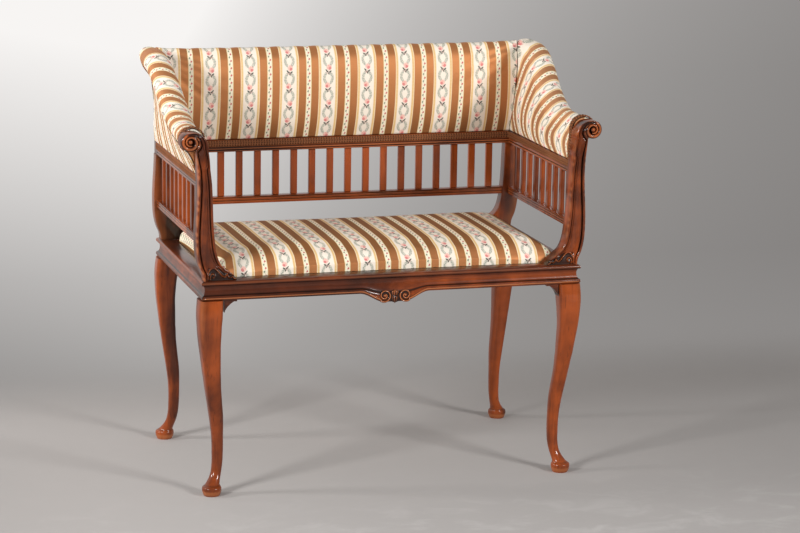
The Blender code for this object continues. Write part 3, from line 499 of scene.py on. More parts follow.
def striped_cover(name, deep=0.0, painted_sheen=0.0):
    """Satin stripe. Across the stripes, the distance from the middle of the wide stripe picks cream, gold, copper
    and the narrow flowered stripe. Along them, the wide stripe repeats a rose on dark leaves over an oval garland,
    turned over at every step, and the narrow one a red and a green dot on a thin vine."""
    cloth = bpy.context.scene.settee_cloth
    paint = Paint(name, Specular_IOR_Level=0.10)
    across, along, _ = paint.parts(paint.node("UVMap", {"uv_map": "cloth"}))
    wander = paint.noise(paint.vector(across * 5.0, along * 5.0), 1.0, 1.0)
    across = across + (wander - 0.5) * 0.0022
    wide = (across / cloth.repeat + 0.5).part() - 0.5
    away = abs(wide)
    grain = paint.noise(paint.vector(across * 900.0, along * 500.0), 1.0, 2.0, 0.6)
    petals = paint.noise(paint.vector(across * 420.0, along * 420.0), 1.0, 2.0, 0.7)

    # The garland of the wide stripe, in millimetres
    step = cloth.rose_step * 1000
    run = along * 1000 + 10
    cell = run / step
    turned = (cell.math("FLOOR") * 0.5).part() * -4 + 1
    b = cell.part() * step - 10
    a = wide * (cloth.repeat * 1000) * turned + (petals - 0.5) * 1.6
    bent = b + (petals - 0.5) * 1.6
    rose = spot(a, bent, (-1.6, 0.0), (5.4, 5.9))
    heart = spot(a, bent, (-3.4, 2.2), (3.0, 3.4))
    leaves = spot(a, bent, (-4.0, 9.2), (3.4, 1.5), 40).high(spot(a, bent, (3.0, 7.6), (4.6, 1.4), -48))
    leaves = leaves.high(spot(a, bent, (-1.0, 13.2), (1.3, 2.4), 24)) * petals.rises(0.28, 0.40)
    stem = spot(a, bent, (0.6, 10.4), (4.2, 3.4), 12)
    low = ((run - 14) / step).part() * step + 4
    oval = (a / 10.4) * (a / 10.4) + ((low - 22.6) / 13.2) * ((low - 22.6) / 13.2)
    ring = oval.rises(0.22, 0.46) * oval.falls(0.98, 1.40) * abs(a).rises(2.0, 4.4)
    sprig = paint.noise(paint.vector(a * 0.62, b * 0.50), 1.0, 2.0, 0.7)
    ring = ring * (0.28 + sprig.rises(0.40, 0.58) * 0.72)
    # The vine of the narrow stripe
    thin = (across / cloth.repeat).part() - 0.5
    c = thin * (cloth.repeat * 1000)
    d = (along * (1000 / 15.3)).part() * 15.3 - 3.8
    red = spot(c, d, (1.5, 0.0), (1.7, 2.0)).high(spot(c, d, (-0.2, 1.2), (0.9, 1.4)) * 0.6)
    green = spot(c, d, (-1.6, 7.4), (1.5, 2.3), 20)
    vine = abs(c - ((along * (2 * math.pi * 1000 / 15.3)).wave() * 1.7)).falls(0.25, 0.9) * 0.55

    cream = paint.mix(grain * 0.20, cloth.cream, (0.80, 0.71, 0.56))
    body = paint.mix(ring * 0.95, cream, paint.mix(sprig.rises(0.52, 0.64), cloth.garland, (0.15, 0.18, 0.14)))
    body = paint.mix(stem * petals.rises(0.40, 0.60) * 0.70, body, (0.42, 0.15, 0.13))
    body = paint.mix(rose * petals.rises(0.34, 0.44) * 0.92, body, cloth.petal)
    body = paint.mix(rose * petals.rises(0.50, 0.62) * 0.75, body, (0.72, 0.30, 0.25))
    body = paint.mix(heart * rose * 0.70, body, cloth.rose)
    body = paint.mix(leaves * 0.95, body, cloth.leaf)
    pale_gold = paint.mix(grain * 0.5, (0.88, 0.72, 0.48), (0.76, 0.57, 0.32))
    dash = (along * (2 * math.pi / 0.0031)).wave() * 0.25 + 0.70
    edge = paint.mix(abs(away - 0.207).falls(0.012, 0.030) * dash, pale_gold, cloth.gold)
    body = paint.mix(away.rises(0.172, 0.184), body, edge)
    streak = paint.noise(paint.vector(across * 70.0, along * 460.0), 1.0, 3.0, 0.6)
    copper = paint.mix(streak * 0.55, cloth.copper, [value * 0.72 for value in cloth.copper])
    body = paint.mix(away.rises(0.243, 0.251), body, copper)
    satin = away.rises(0.243, 0.251) * away.falls(0.427, 0.435)
    # Painted sheen: lighter copper where it is set, on the arms
    body = paint.mix(satin * painted_sheen, body, (0.86, 0.62, 0.42))
    strip = paint.mix(abs(c).rises(3.6, 5.4), (0.86, 0.77, 0.60), (0.72, 0.58, 0.30))
    strip = paint.mix(vine, strip, (0.42, 0.46, 0.30))
    strip = paint.mix(green * 0.85, strip, (0.13, 0.20, 0.12))
    strip = paint.mix(red * 0.90, strip, (0.50, 0.06, 0.07))
    body = paint.mix(away.rises(0.427, 0.435), body, strip)
    # Painted shade: deep is its strength, and the mark says where; the copper goes much darker, the cream a little
    if deep:
        shade = paint.mark("turned_up") * deep
        body = paint.mix(shade * (0.04 + satin * 0.92), body, (0.115, 0.046, 0.010))

    metal = satin * 0.66
    # Less metallic under the same painted shade
    if deep:
        metal = metal * (1 - paint.mark("turned_up") * 0.6)
    weave = (along * 5200.0).wave() * 0.5 + (across * 3900.0).wave() * (0.5 - satin * 0.3)
    raised = (1 - satin) * 0.5 + rose * 0.5 + leaves * 0.3 + ring * 0.3
    height = weave * 0.22 + raised + grain * 0.25
    return paint.feed(Base_Color=body, Metallic=metal, Roughness=0.66 - satin * 0.14 + grain * 0.08,
                      Normal=paint.bump(height, 0.0004, 0.45))


def woven_braid(name):
    """Gimp: the height of its threads, a mark, picks between thread and shade."""
    braid = bpy.context.scene.settee_braid
    paint = Paint(name, Specular_IOR_Level=0.15)
    thread = paint.mark("thread")
    fibre = paint.noise(paint.place([1500.0, 1500.0, 1500.0]), 1.0, 2.0)
    worn = paint.noise(paint.place([9.0, 9.0, 9.0]), 1.0, 2.0)
    body = paint.mix(thread.rises(0.15, 0.75), braid.shade, braid.tone)
    body = paint.mix(worn.rises(0.45, 0.75) * thread * 0.35, body, (0.42, 0.18, 0.075))
    return paint.feed(Base_Color=body, Roughness=0.55 + fibre * 0.2, Normal=paint.bump(fibre, 0.0003, 0.6))


def jute(name):
    """Webbing: two crossing waves, over and under."""
    paint = Paint(name)
    x, y, _ = paint.parts(paint.place())
    weave = (x * 1400.0).wave() * (y * 1400.0).wave()
    strap = ((x * 14.0).part() - 0.5).math("ABSOLUTE").high(abs((y * 14.0).part() - 0.5))
    body = paint.mix(weave * 0.5 + 0.5, (0.20, 0.14, 0.08), (0.42, 0.32, 0.19))
    body = paint.mix(strap.rises(0.44, 0.48), body, (0.08, 0.05, 0.03))
    return paint.feed(Base_Color=body, Roughness=0.85 + weave * 0.05, Normal=paint.bump(weave, 0.0008, 0.6))


# Seat frame

def moulding_points():
    """Section of a seat rail: in from the nose and up, softened down its moulded face, square inside."""
    height = SEAT_TOP - SEAT_BOTTOM
    face = MOULDING * np.array([MOULDING_DEPTH, -height]) + np.array([0.0, SEAT_TOP])
    return softened(face, 44)


def apron_drop(x):
    """How far the front rail's lower edge drops: flat in the middle, eased out by a cosine."""
    away = np.clip((np.abs(x) - APRON_FLAT) / (APRON_REACH - APRON_FLAT), 0, 1)
    return APRON_DROP * (1 + np.cos(np.pi * away)) / 2


def rail_grid(half, stations, front):
    """Points of a rail: its section carried along it, mitred at both ends, and let down over the apron in front."""
    face = moulding_points()
    inner = np.array([(0.016, SEAT_BOTTOM), (RAIL_WIDTH + LEDGE_WIDTH, SEAT_BOTTOM),
                      (RAIL_WIDTH + LEDGE_WIDTH, LEDGE_TOP), (RAIL_WIDTH, LEDGE_TOP), (RAIL_WIDTH, SEAT_TOP - 0.0012),
                      (RAIL_WIDTH - 0.0012, SEAT_TOP)])
    section = np.concatenate([face, inner])
    low = np.concatenate([ease((SEAT_TOP - face[:, 1]) / (SEAT_TOP - SEAT_BOTTOM) * 1.9 - 0.9), [1.0], np.zeros(5)])
    along = np.concatenate([[-half], stations, [half]])
    end = np.concatenate([[-1.0], np.zeros(len(stations)), [1.0]])
    drop = apron_drop(along) if front else np.zeros(len(along))
    inward = np.broadcast_to(section[:, 0], (len(along), len(section)))
    place = along[:, None] - end[:, None] * (inward + 0.0003)
    height = section[:, 1] - drop[:, None] * low
    depth = (SEAT_TOP - section[:, 1]) / (SEAT_TOP - SEAT_BOTTOM)
    # Lighter on the nose and the lower bead, as rubbed edges; darker in the quirk under the nose and the one above the
    # lower bead, as painted shade in these grooves
    wear = np.exp(-((depth - 0.10) / 0.05) ** 2) + 0.8 * np.exp(-((depth - 0.90) / 0.06) ** 2)
    dirt = np.exp(-((depth - 0.205) / 0.03) ** 2) + np.exp(-((depth - 0.735) / 0.035) ** 2)
    wear[len(face):] = 0
    dirt[len(face):] = 0
    return place, inward, height, np.broadcast_to(wear, place.shape), np.broadcast_to(dirt, place.shape)


def seat_rail(side):
    half = HALF_WIDTH if side in ("front", "back") else HALF_DEPTH
    stations = np.linspace(-0.092, 0.092, 93) if side == "front" else np.linspace(-half * 0.8, half * 0.8, 9)
    place, inward, height, wear, dirt = rail_grid(half, stations, side == "front")
    if side in ("front", "back"):
        sign = -1 if side == "front" else 1
        points = np.stack([place, MIDDLE + sign * (HALF_DEPTH - inward), height], axis=-1)
        grain = 0
    else:
        sign = SIDES[side]
        points = np.stack([sign * (HALF_WIDTH - inward), MIDDLE + place, height], axis=-1)
        grain = 1
    name = f"moulded_{side}_rail"
    mesh = grid_mesh(name, points, around=True, ends=True, marks={"wear": wear, "dirt": dirt}, sharp=38)
    add_piece(name, mesh, mahogany(name, grain, 0.48, worked=True, rubbed_and_lit=0.18), [f"{side}_seat_rail"])


def tube(line, width, height, out, count=14):
    """A bead along a line: ovals 'width' across the line and 'height' out, square to the line."""
    ahead = along_first(line)
    out = np.broadcast_to(np.asarray(out, float), line.shape)
    across = np.cross(ahead, out)
    angle = np.linspace(0, 2 * np.pi, count, endpoint=False)
    ring = (np.cos(angle)[None, :, None] * across[:, None] * np.reshape(width, (-1, 1, 1))
            + np.sin(angle)[None, :, None] * out[:, None] * np.reshape(height, (-1, 1, 1)))
    return line[:, None] + ring


def apron_line(sign):
    """Path of the bead: along the rail's lower edge, down the drop, and round its scroll one turn and a half."""
    far = HALF_WIDTH * 0.99
    x = np.concatenate([np.linspace(far, 0.10, 20), np.linspace(0.098, 0.0295, 40)])
    z = SEAT_BOTTOM + 0.0044 - apron_drop(x)
    centre = np.array([0.0212, 0.3912])
    turn = np.linspace(0, 1, 60)
    start = math.atan2(z[-1] - centre[1], x[-1] - centre[0])
    radius = np.hypot(x[-1] - centre[0], z[-1] - centre[1]) * (1 - turn) ** 0.8 + 0.0022
    angle = start - turn * math.radians(560)
    curl = centre + np.stack([np.cos(angle), np.sin(angle)], axis=1) * radius[:, None]
    flat = np.concatenate([np.stack([x, z], axis=1), curl[1:]])
    run = run_of(flat) / run_of(flat)[-1]
    depth = NOSE_FRONT + 0.0021 - 0.0030 * ease((run - 0.70) / 0.12)
    return np.stack([sign * flat[:, 0], depth, flat[:, 1]], axis=1)


def carved_apron():
    """Beads along the front rail with a scroll each, and the bud between them."""
    meshes = []
    for sign in (-1, 1):
        line = apron_line(sign)
        run = run_of(line) / run_of(line)[-1]
        swell = 0.0021 - 0.0005 * ease((run - 0.80) / 0.1)
        bead = tube(line, swell, swell * 1.05, (0, -1, 0))
        # The bead is painted lighter on its front, a painted highlight along its crest, and darker on its sides and
        # back, painted shade where it meets the rail
        wear = np.clip((line[:, 1][:, None] - bead[..., 1]) / swell[:, None], 0, 1)
        meshes.append(grid_mesh("bead", bead, around=True, ends=True, marks={"wear": wear ** 2 * 0.7, "dirt": 1 - wear ** 0.7}))
        centre = np.array([sign * 0.0212, 0.3912])
        # Painted shade: the wide flat discs, painted dark all over behind each scroll and behind the bud, stand for the
        # shaded hollow ground; the small domed one is the scroll's eye
        meshes.append(polar_disc(centre, 0.0088, NOSE_FRONT - 0.0002, 0.0003, 1.0))
        meshes.append(polar_disc(centre, 0.0036, NOSE_FRONT - 0.0002, 0.0030))
    meshes.append(polar_disc(np.array([0.0, 0.3890]), 0.0122, NOSE_FRONT - 0.0001, 0.0002, 1.0))
    meshes.append(bud_mesh())
    name = "carved_apron"
    add_piece(name, joined(name, meshes), mahogany(name, 0, 0.42, worked=True))


def polar_disc(centre, radius, front, dome, painted_shade=0.0):
    """A closed boss facing the front: radius over turn, domed by a cosine, flat behind."""
    share = np.array([1.0, 1.0, 0.97, 0.9, 0.78, 0.6, 0.4, 0.2, 0.03])
    depth = np.array([0.006, 0.0, *(-dome * np.cos(share[2:] * math.pi / 2))])
    turn = np.linspace(0, 2 * np.pi, 28, endpoint=False)
    x = centre[0] + radius * share[:, None] * np.cos(turn)
    z = centre[1] + radius * share[:, None] * np.sin(turn)
    points = np.stack([x, np.broadcast_to(front + depth[:, None], x.shape), z], axis=-1)
    # Lighter towards the crown; darker at the rim where it meets the face, as painted shade; the last argument paints
    # the whole disc dark as painted shade
    wear = np.broadcast_to((1 - share)[:, None], x.shape)
    return grid_mesh("boss", points, around=True, ends=True, marks={"wear": wear, "dirt": np.maximum(share[:, None] ** 6, painted_shade) + 0 * x})


def bud_mesh():
    """A fluted bud between the scrolls: half round, its radius a bell down its height, cut by five flutes."""
    t = np.linspace(0, 1, 40)
    turn = np.linspace(0, 2 * np.pi, 48, endpoint=False)
    table = np.array([(0.0, 0.05), (0.10, 0.42), (0.28, 0.80), (0.46, 0.92), (0.58, 0.70), (0.66, 0.78), (0.80, 0.98),
                      (0.92, 0.80), (1.0, 0.15)])
    radius = 0.0068 * flow(table, t)
    flutes = 1 - 0.20 * (0.5 + 0.5 * np.cos(turn * 8))[None, :] * ease(1.5 - 1.3 * t)[:, None]
    lobes = 1 + 0.16 * np.cos(turn * 4)[None, :] * ease(t * 3 - 1.9)[:, None]
    r = radius[:, None] * flutes * lobes
    z = 0.3752 + 0.0262 * t
    points = np.stack([r * np.cos(turn), NOSE_FRONT + 0.0008 + 0.75 * r * np.sin(turn),
                       np.broadcast_to(z[:, None], r.shape)], axis=-1)
    # Painted shade in the flutes and at the waist, and painted highlight on the ridges between them
    waist = np.exp(-((t - 0.58) / 0.05) ** 2)[:, None]
    dirt = np.clip((1 - flutes) * 7 + waist * 0.7, 0, 1)
    return grid_mesh("bud", points, around=True, ends=True, marks={"wear": (1 - dirt) * 0.6, "dirt": dirt})


# Legs

def leg_grid(foot, knee, outward):
    """A cabriole leg: superellipse rings on a line from foot to knee, swung along the corner's diagonal."""
    height = np.concatenate([np.linspace(0, 0.06, 22), np.linspace(0.07, 1, 92)])
    swing, width, square, trim = (flow(LEG, height, k) for k in range(1, 5))
    lean = np.where(swing > 0, 0.0062, 0.0205) * swing / math.sqrt(2)
    lean = lean - height * 0.55 * 0.0062 / math.sqrt(2)
    half = 0.0242 * width
    pad = height < 0.05
    half[pad] = 0.0190 * width[pad] / 0.856
    blend = ease((height - 0.046) / 0.012)
    half = half * blend + 0.0190 * width / 0.856 * (1 - blend)
    angle = 2 * np.pi * (np.arange(44) + 0.5) / 44
    power = (2 / (2 + 3 * square))[:, None]
    x = np.sign(np.cos(angle)) * np.abs(np.cos(angle)) ** power
    y = np.sign(np.sin(angle)) * np.abs(np.sin(angle)) ** power
    pull = trim[:, None] * (x * outward[0] + y * outward[1]) / 2
    x = x - pull * outward[0]
    y = y - pull * outward[1]
    centre = [foot[k] + (knee[k] - foot[k]) * height + outward[k] * lean for k in (0, 1)]
    top = SEAT_BOTTOM - 0.0007
    points = np.stack([centre[0][:, None] + half[:, None] * x, centre[1][:, None] + half[:, None] * y,
                       np.broadcast_to((height * top)[:, None], x.shape)], axis=-1)
    rim = np.exp(-((height * top - 0.006) / 0.006) ** 2)[:, None] + 0 * x
    corner = np.clip((x * outward[0] + y * outward[1]) / 1.6, 0, 1) ** 4 * ease(height * 2 - 0.8)[:, None]
    neck = np.exp(-((height - 0.052) / 0.006) ** 2)[:, None] + 0 * x
    return points, rim * 0.9 + corner * 0.55, neck * 0.5


def legs():
    for side, sign in SIDES.items():
        for end, direction in (("front", -1), ("back", 1)):
            if end == "front":
                foot = (sign * (HALF_WIDTH - 0.0245), MIDDLE - HALF_DEPTH + 0.0230)
            else:
                foot = (sign * (HALF_WIDTH - 0.0175), MIDDLE + HALF_DEPTH + 0.0015)
            knee = (sign * (HALF_WIDTH - 0.0205), MIDDLE + direction * (HALF_DEPTH - 0.0205))
            points, wear, dirt = leg_grid(foot, knee, (sign, direction))
            name = f"cabriole_{end}_{side}"
            mesh = grid_mesh(name, points, around=True, ends=True, marks={"wear": wear, "dirt": dirt}, sharp=50)
            add_piece(name, mesh, mahogany(name, 2, 0.61, worked=True, calm=0.8, rubbed_and_lit=0.6), [f"{end}_{side}_leg"])


# Posts

def post_edges(z):
    """Outer and inner edge of a post at heights over the seat rail."""
    share = (z - SEAT_TOP) / POST_RISE
    outer = POST_OUT - POST_BASE * flow(POST_OUTER, share)
    return outer, outer - POST_BASE * flow(POST_WIDTH, share)


def scroll_radius(turned):
    """Edge of the scroll's strap, by degrees turned past its top: opening before it, winding in after it."""
    table = np.array([(0.0, 1.0), (200.0, 1.0), (250.0, 0.955), (300.0, 0.80), (360.0, 0.66), (450.0, 0.585),
                      (540.0, 0.53), (630.0, 0.43), (720.0, 0.36), (900.0, 0.28)])
    wound = SCROLL_RADIUS * np.interp(turned, table[:, 0], table[:, 1])
    opening = np.clip(-turned / 118.0, 0, None)
    return wound + SCROLL_SWEEP * opening ** 1.5


def around_scroll(turned, radius):
    angle = np.radians(90.0 - turned)
    return np.stack([SCROLL_X + radius * np.cos(angle), SCROLL_Z + radius * np.sin(angle)], axis=-1)


def strap_edges():
    """The two edges of a front post as one strap: up the shaft, over the top, and round into the scroll."""
    low = SEAT_TOP + 0.0003
    z = np.concatenate([np.linspace(low, low + 0.030, 44), np.linspace(low + 0.0318, 0.650, 84)])
    outer, inner = post_edges(z)
    start_out = around_scroll(np.array([215.0]), np.array([SCROLL_RADIUS]))[0]
    end_in = around_scroll(np.array([-118.0]), scroll_radius(np.array([-118.0])))[0]
    steps = np.linspace(0, 1, 22)[1:, None]
    fan_out = np.array([outer[-1], z[-1]]) * (1 - steps) + start_out * steps
    fan_in_z = z[-1] + (0.6536 - z[-1]) * steps[:, 0]
    fan_in = np.stack([post_edges(fan_in_z)[1], fan_in_z], axis=1)
    rise = np.linspace(0, 1, 12)[1:, None]
    shoulder = np.array([fan_in[-1]]) * (1 - rise) + end_in * rise
    shoulder[:, 0] += -0.0006 * np.sin(rise[:, 0] * math.pi)
    turned = np.linspace(-145, -118, 12)[1:]
    shoulder_out = around_scroll(turned + 360, scroll_radius(turned + 360))
    wind = np.linspace(-118, 560, 190)[1:]
    long_edge = around_scroll(wind, scroll_radius(wind))
    short_edge = around_scroll(wind + 360, scroll_radius(wind + 360))
    first = np.concatenate([np.stack([inner, z], axis=1), fan_in, shoulder, long_edge])
    second = np.concatenate([np.stack([outer, z], axis=1), fan_out, shoulder_out, short_edge])
    return first, second


def strap_relief(share, width, curled):
    """Depth of the strap's face below its front, in metres: a bead at each edge, a quirk inside it, and a hollow.
    Where it has curled into the scroll it is one round bead instead. Also how much of it is a groove."""
    from_inner = share * width
    from_outer = (1 - share) * width
    bead = np.minimum(0.0050, width * 0.24)
    quirk = np.minimum(0.0032, width * 0.16)
    hollow = np.minimum(0.0042, width * 0.14) * np.sin(np.pi * np.clip(share, 0, 1)) ** 1.2
    edge_in = np.clip(from_inner / bead, 0, 1)
    edge_out = np.clip(from_outer / bead, 0, 1)
    rounding = 0.0025 * ((1 - np.sqrt(np.clip(1 - (1 - edge_in * 2) ** 2, 0, 1))) * (edge_in < 0.5)
                         + (1 - np.sqrt(np.clip(1 - (1 - edge_out * 2) ** 2, 0, 1))) * (edge_out < 0.5))
    cut_in = np.exp(-((from_inner - bead * 1.2) / 0.0011) ** 2) + 0.5 * np.exp(-((from_inner - bead * 2.1) / 0.0009) ** 2)
    cut_out = np.exp(-((from_outer - bead * 1.25) / 0.0014) ** 2)
    inside = ease((np.minimum(from_inner, from_outer) - bead) / 0.0015)
    groove = 0.75 * cut_in + 1.1 * cut_out
    away = np.clip(1 - np.sin(np.pi * np.clip(share, 0, 1)), 0, 1) ** 1.5
    depth = rounding + hollow * inside + quirk * groove
    return depth + (0.0030 * away - depth) * curled, groove + (ease(away * 2.2 - 0.5) - groove) * curled


def foot_carving(x, z):
    """Depth added by the carved scroll and leaf at a front post's foot: hollows cut round three ridges."""
    heel = post_edges(np.array([SEAT_TOP]))[0][0]
    across = (heel - x) * 1000
    up = (z - SEAT_TOP) * 1000
    curl = softened([(9, 4), (7.5, 12), (11, 22), (19.5, 26), (26, 21), (31, 15), (37.5, 8), (41.5, 7), (45.5, 12.5)],
                    60)
    eye = softened([(13, 3), (11.5, 9), (15, 14.5), (20.5, 13.5), (21.5, 8.5), (17.5, 6.5)], 30)
    toe = softened([(45.5, 12.5), (48, 6.5), (52, 4.5), (56, 9.0), (58, 4.0), (62, 3.0)], 40)
    vein = softened([(31, 26), (39, 17), (47, 15), (55, 12.5)], 24)
    ridge = np.exp(-(near_line(across, up, curl) / 1.5) ** 2)
    for line, size in ((eye, 1.2), (toe, 1.2), (vein, 1.0)):
        ridge = np.maximum(ridge, np.exp(-(near_line(across, up, line) / size) ** 2))
    top = 27 - 14 * ease((across - 24) / 34)
    inside = ease((top - up) / 5.0) * ease((across - 5) / 5.0)
    # The second value marks the carved hollows and the third the ridge crests, which front_post paints darker as
    # painted shade and lighter as painted highlight
    return 0.0036 * inside * (1 - 1.05 * ridge), inside * (1 - ridge), inside * ridge ** 3


def front_post(side, sign, tone):
    """Strap between its two edges: relief on the face, square sides and back."""
    first, second = strap_edges()
    share = np.concatenate([np.linspace(0, 0.24, 22), np.linspace(0.26, 0.74, 28), np.linspace(0.76, 1, 22)])
    flat = first[:, None] * (1 - share)[None, :, None] + second[:, None] * share[None, :, None]
    width = np.linalg.norm(second - first, axis=1)[:, None]
    climbed = len(first) - 189 + 30
    curled = ease((np.arange(len(first)) - climbed) / 16.0)[:, None]
    depth, groove = strap_relief(share[None, :], width, curled)
    carved, hollow, ridge = foot_carving(flat[..., 0], flat[..., 1])
    fade = ease((flat[..., 1] - SEAT_TOP - 0.002) / 0.024)
    depth = depth * np.maximum(fade, 1 - (carved > 0.0001)) + carved
    front = POST_LOW.y + 0.0002 + depth
    face = np.stack([flat[..., 0], front, flat[..., 1]], axis=-1)
    back_y = POST_HIGH.y
    behind = np.stack([flat[..., 0], np.full(front.shape, back_y), flat[..., 1]], axis=-1)[:, [-1, 36, 0]]
    points = np.concatenate([face, behind], axis=1)
    # Lighter along both edges of the strap, broken by a wave, and on the crest of the bead curled into the scroll,
    # partly rubbed edges and partly painted highlight; full on the carved ridges at the foot, as painted highlight
    noise = 0.5 + 0.5 * np.sin(flat[..., 1] * 310 + 2.0 * np.sin(flat[..., 1] * 97))
    edge_out = np.exp(-((1 - share)[None, :] * width / 0.0030) ** 2)
    edge_in = np.exp(-(share[None, :] * width / 0.0026) ** 2)
    wear = edge_out * (0.25 + 0.65 * noise) + (0.25 + 0.35 * noise) * edge_in + ridge * 0.95
    wear = wear * (1 - curled) + 0.75 * curled * np.exp(-((share[None, :] - 0.5) / 0.26) ** 2)
    # Darker in the quirks of the strap and in the carved hollows at the foot: painted shade
    dirt = np.clip(groove * 1.25, 0, 1) * fade + hollow * 0.95
    pad = np.zeros((len(points), 3))
    name = f"carved_{side}_post"
    mesh = grid_mesh(name, mirrored(points, sign), around=True, ends=True,
                     marks={"wear": np.concatenate([wear * (1 - hollow * 0.7), pad], axis=1),
                            "dirt": np.concatenate([np.clip(dirt, 0, 1), pad], axis=1)}, sharp=42)
    eye = polar_disc(np.array([sign * SCROLL_X, SCROLL_Z]), 0.0046, POST_LOW.y + 0.0026, 0.0022)
    add_piece(name, joined(name, [mesh, eye]), mahogany(name, 2, tone, worked=True, calm=1.2, rubbed_and_lit=0.6),
              [f"front_{side}_post"])


def rear_post(side, sign, tone):
    """Shaft of a rear post: a rectangle with eased corners at each height, its neck hidden in the padding."""
    z = np.concatenate([np.linspace(SEAT_TOP + 0.0003, 0.610, 60), [UPPER_LOW.z - 0.0001]])
    outer, inner = post_edges(z)
    ease_in = np.full(len(z), 0.0018)
    angle = np.concatenate([np.linspace(k * 90, k * 90 + 90, 6) for k in range(4)])
    c, s = np.cos(np.radians(angle)), np.sin(np.radians(angle))
    corner_x = np.repeat([1, -1, -1, 1], 6)
    corner_y = np.repeat([1, 1, -1, -1], 6)
    centre = (outer + inner) / 2
    half = (outer - inner) / 2
    half_deep = (REAR_HIGH.y - REAR_LOW.y) / 2
    x = centre[:, None] + corner_x * (half - ease_in)[:, None] + ease_in[:, None] * c
    y = (REAR_LOW.y + REAR_HIGH.y) / 2 + corner_y * (half_deep - ease_in)[:, None] + ease_in[:, None] * s
    points = np.stack([x, y, np.broadcast_to(z[:, None], x.shape)], axis=-1)
    wear = np.broadcast_to((corner_x > 0) * 0.6, x.shape)
    name = f"shaped_rear_{side}_post"
    mesh = grid_mesh(name, mirrored(points, sign), around=True, ends=True,
                     marks={"wear": wear, "dirt": np.zeros(x.shape)}, sharp=40)
    head = square_bar(name, np.array([(PANEL_IN + 0.0004, REAR_LOW.y + 0.0006), (PANEL_OUT - 0.0004, REAR_HIGH.y - 0.0006)]),
                      UPPER_LOW.z - 0.001, UPPER_HIGH.z, sign)
    neck = square_bar(name, np.array([(PANEL_IN + 0.010, REAR_LOW.y + 0.008), (PANEL_IN + 0.016, REAR_HIGH.y - 0.008)]),
                      UPPER_HIGH.z - 0.002, BACK_TOP - 0.020, sign)
    add_piece(name, joined(name, [mesh, head, neck]), mahogany(name, 2, tone, worked=True, rubbed_and_lit=0.4),
              [f"rear_{side}_post"])


def square_bar(name, plan, low, high, sign):
    """An upright bar on a rectangle of the plan."""
    (x0, y0), (x1, y1) = plan
    ring = np.array([(x0, y0), (x1, y0), (x1, y1), (x0, y1)])
    points = np.stack([np.column_stack([ring, np.full(4, z)]) for z in (low, high)])
    zero = np.zeros((2, 4))
    return grid_mesh(name, mirrored(points, sign), around=True, ends=True, marks={"wear": zero, "dirt": zero}, sharp=30)


# Slatted panels

def rail_bar(name, section, ends, axis, grain, tone, node):
    """A small moulded rail: its section, out and up, carried between two ends."""
    where = np.linspace(0, 1, 12)[:, None]
    low, high = ends
    along = low + (high - low) * where
    out = np.broadcast_to(section[:, 0], (12, len(section)))
    up = np.broadcast_to(section[:, 1], (12, len(section)))
    run = np.broadcast_to(along, out.shape)
    order = (run, out) if axis == 0 else (out, run)
    points = np.stack([*order, up], axis=-1)
    marks = {key: np.broadcast_to(section[:, k], out.shape) for key, k in (("dirt", 2), ("wear", 3))}
    mesh = grid_mesh(name, points, around=True, ends=True, marks=marks, sharp=35)
    add_piece(name, mesh, mahogany(name, grain, tone, worked=True), [node])


def grooved(face, rear, low, high, grooves):
    """Section of a rail with rounded edges and grooves across its face: face and rear are where its two sides
    stand, and each groove is a height share cut 1.2 mm deep on both sides."""
    share = np.linspace(0.0, 1.0, 33)
    cut = sum(np.exp(-((share - at) / 0.055) ** 2) for at in grooves)
    eased = 0.0012 * ((share < 0.01) | (share > 0.99))
    rubbed_and_lit = sum(np.exp(-((np.abs(share - at) - 0.095) / 0.035) ** 2) for at in grooves)
    inward = np.sign(rear - face)
    up = low + (high - low) * share
    # Darker in the grooves, as painted shade, and lighter on the strips beside them, partly rubbed and partly painted
    # highlight
    marks = [np.clip(cut, 0, 1), np.clip(rubbed_and_lit, 0, 1) * 0.75]
    near = np.stack([face + inward * (0.0012 * cut + eased), up, *marks], axis=1)
    far = np.stack([rear - inward * (0.0012 * cut + eased), up, *marks], axis=1)
    return np.concatenate([near, far[::-1]])


def panels():
    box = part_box("back_lower_rail")
    rail_bar("moulded_back_lower_rail", grooved(box[0].y, box[1].y, box[0].z, box[1].z, (0.42, 0.82)),
             (box[0].x, box[1].x), 0, 0, 0.66, "back_lower_rail")
    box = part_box("back_upper_rail")
    rail_bar("moulded_back_upper_rail", grooved(box[0].y, box[1].y, box[0].z, box[1].z, (0.16, 0.36)),
             (box[0].x, box[1].x), 0, 0, 0.48, "back_upper_rail")
    for side, sign in SIDES.items():
        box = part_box(f"{side}_upper_rail")
        near, far = (box[0].x, box[1].x) if sign > 0 else (box[1].x, box[0].x)
        rail_bar(f"moulded_{side}_upper_rail", grooved(near, far, box[0].z, box[1].z, (0.22,)),
                 (box[0].y, box[1].y), 1, 1, 0.50, f"{side}_upper_rail")
        side_comb(side, sign)
    for i in range(1, 19):
        name = f"back_slat_{i:02d}"
        finish_node(name, mahogany(name, 2, 0.70 + 0.04 * math.sin(i * 2.7), calm=0.55))


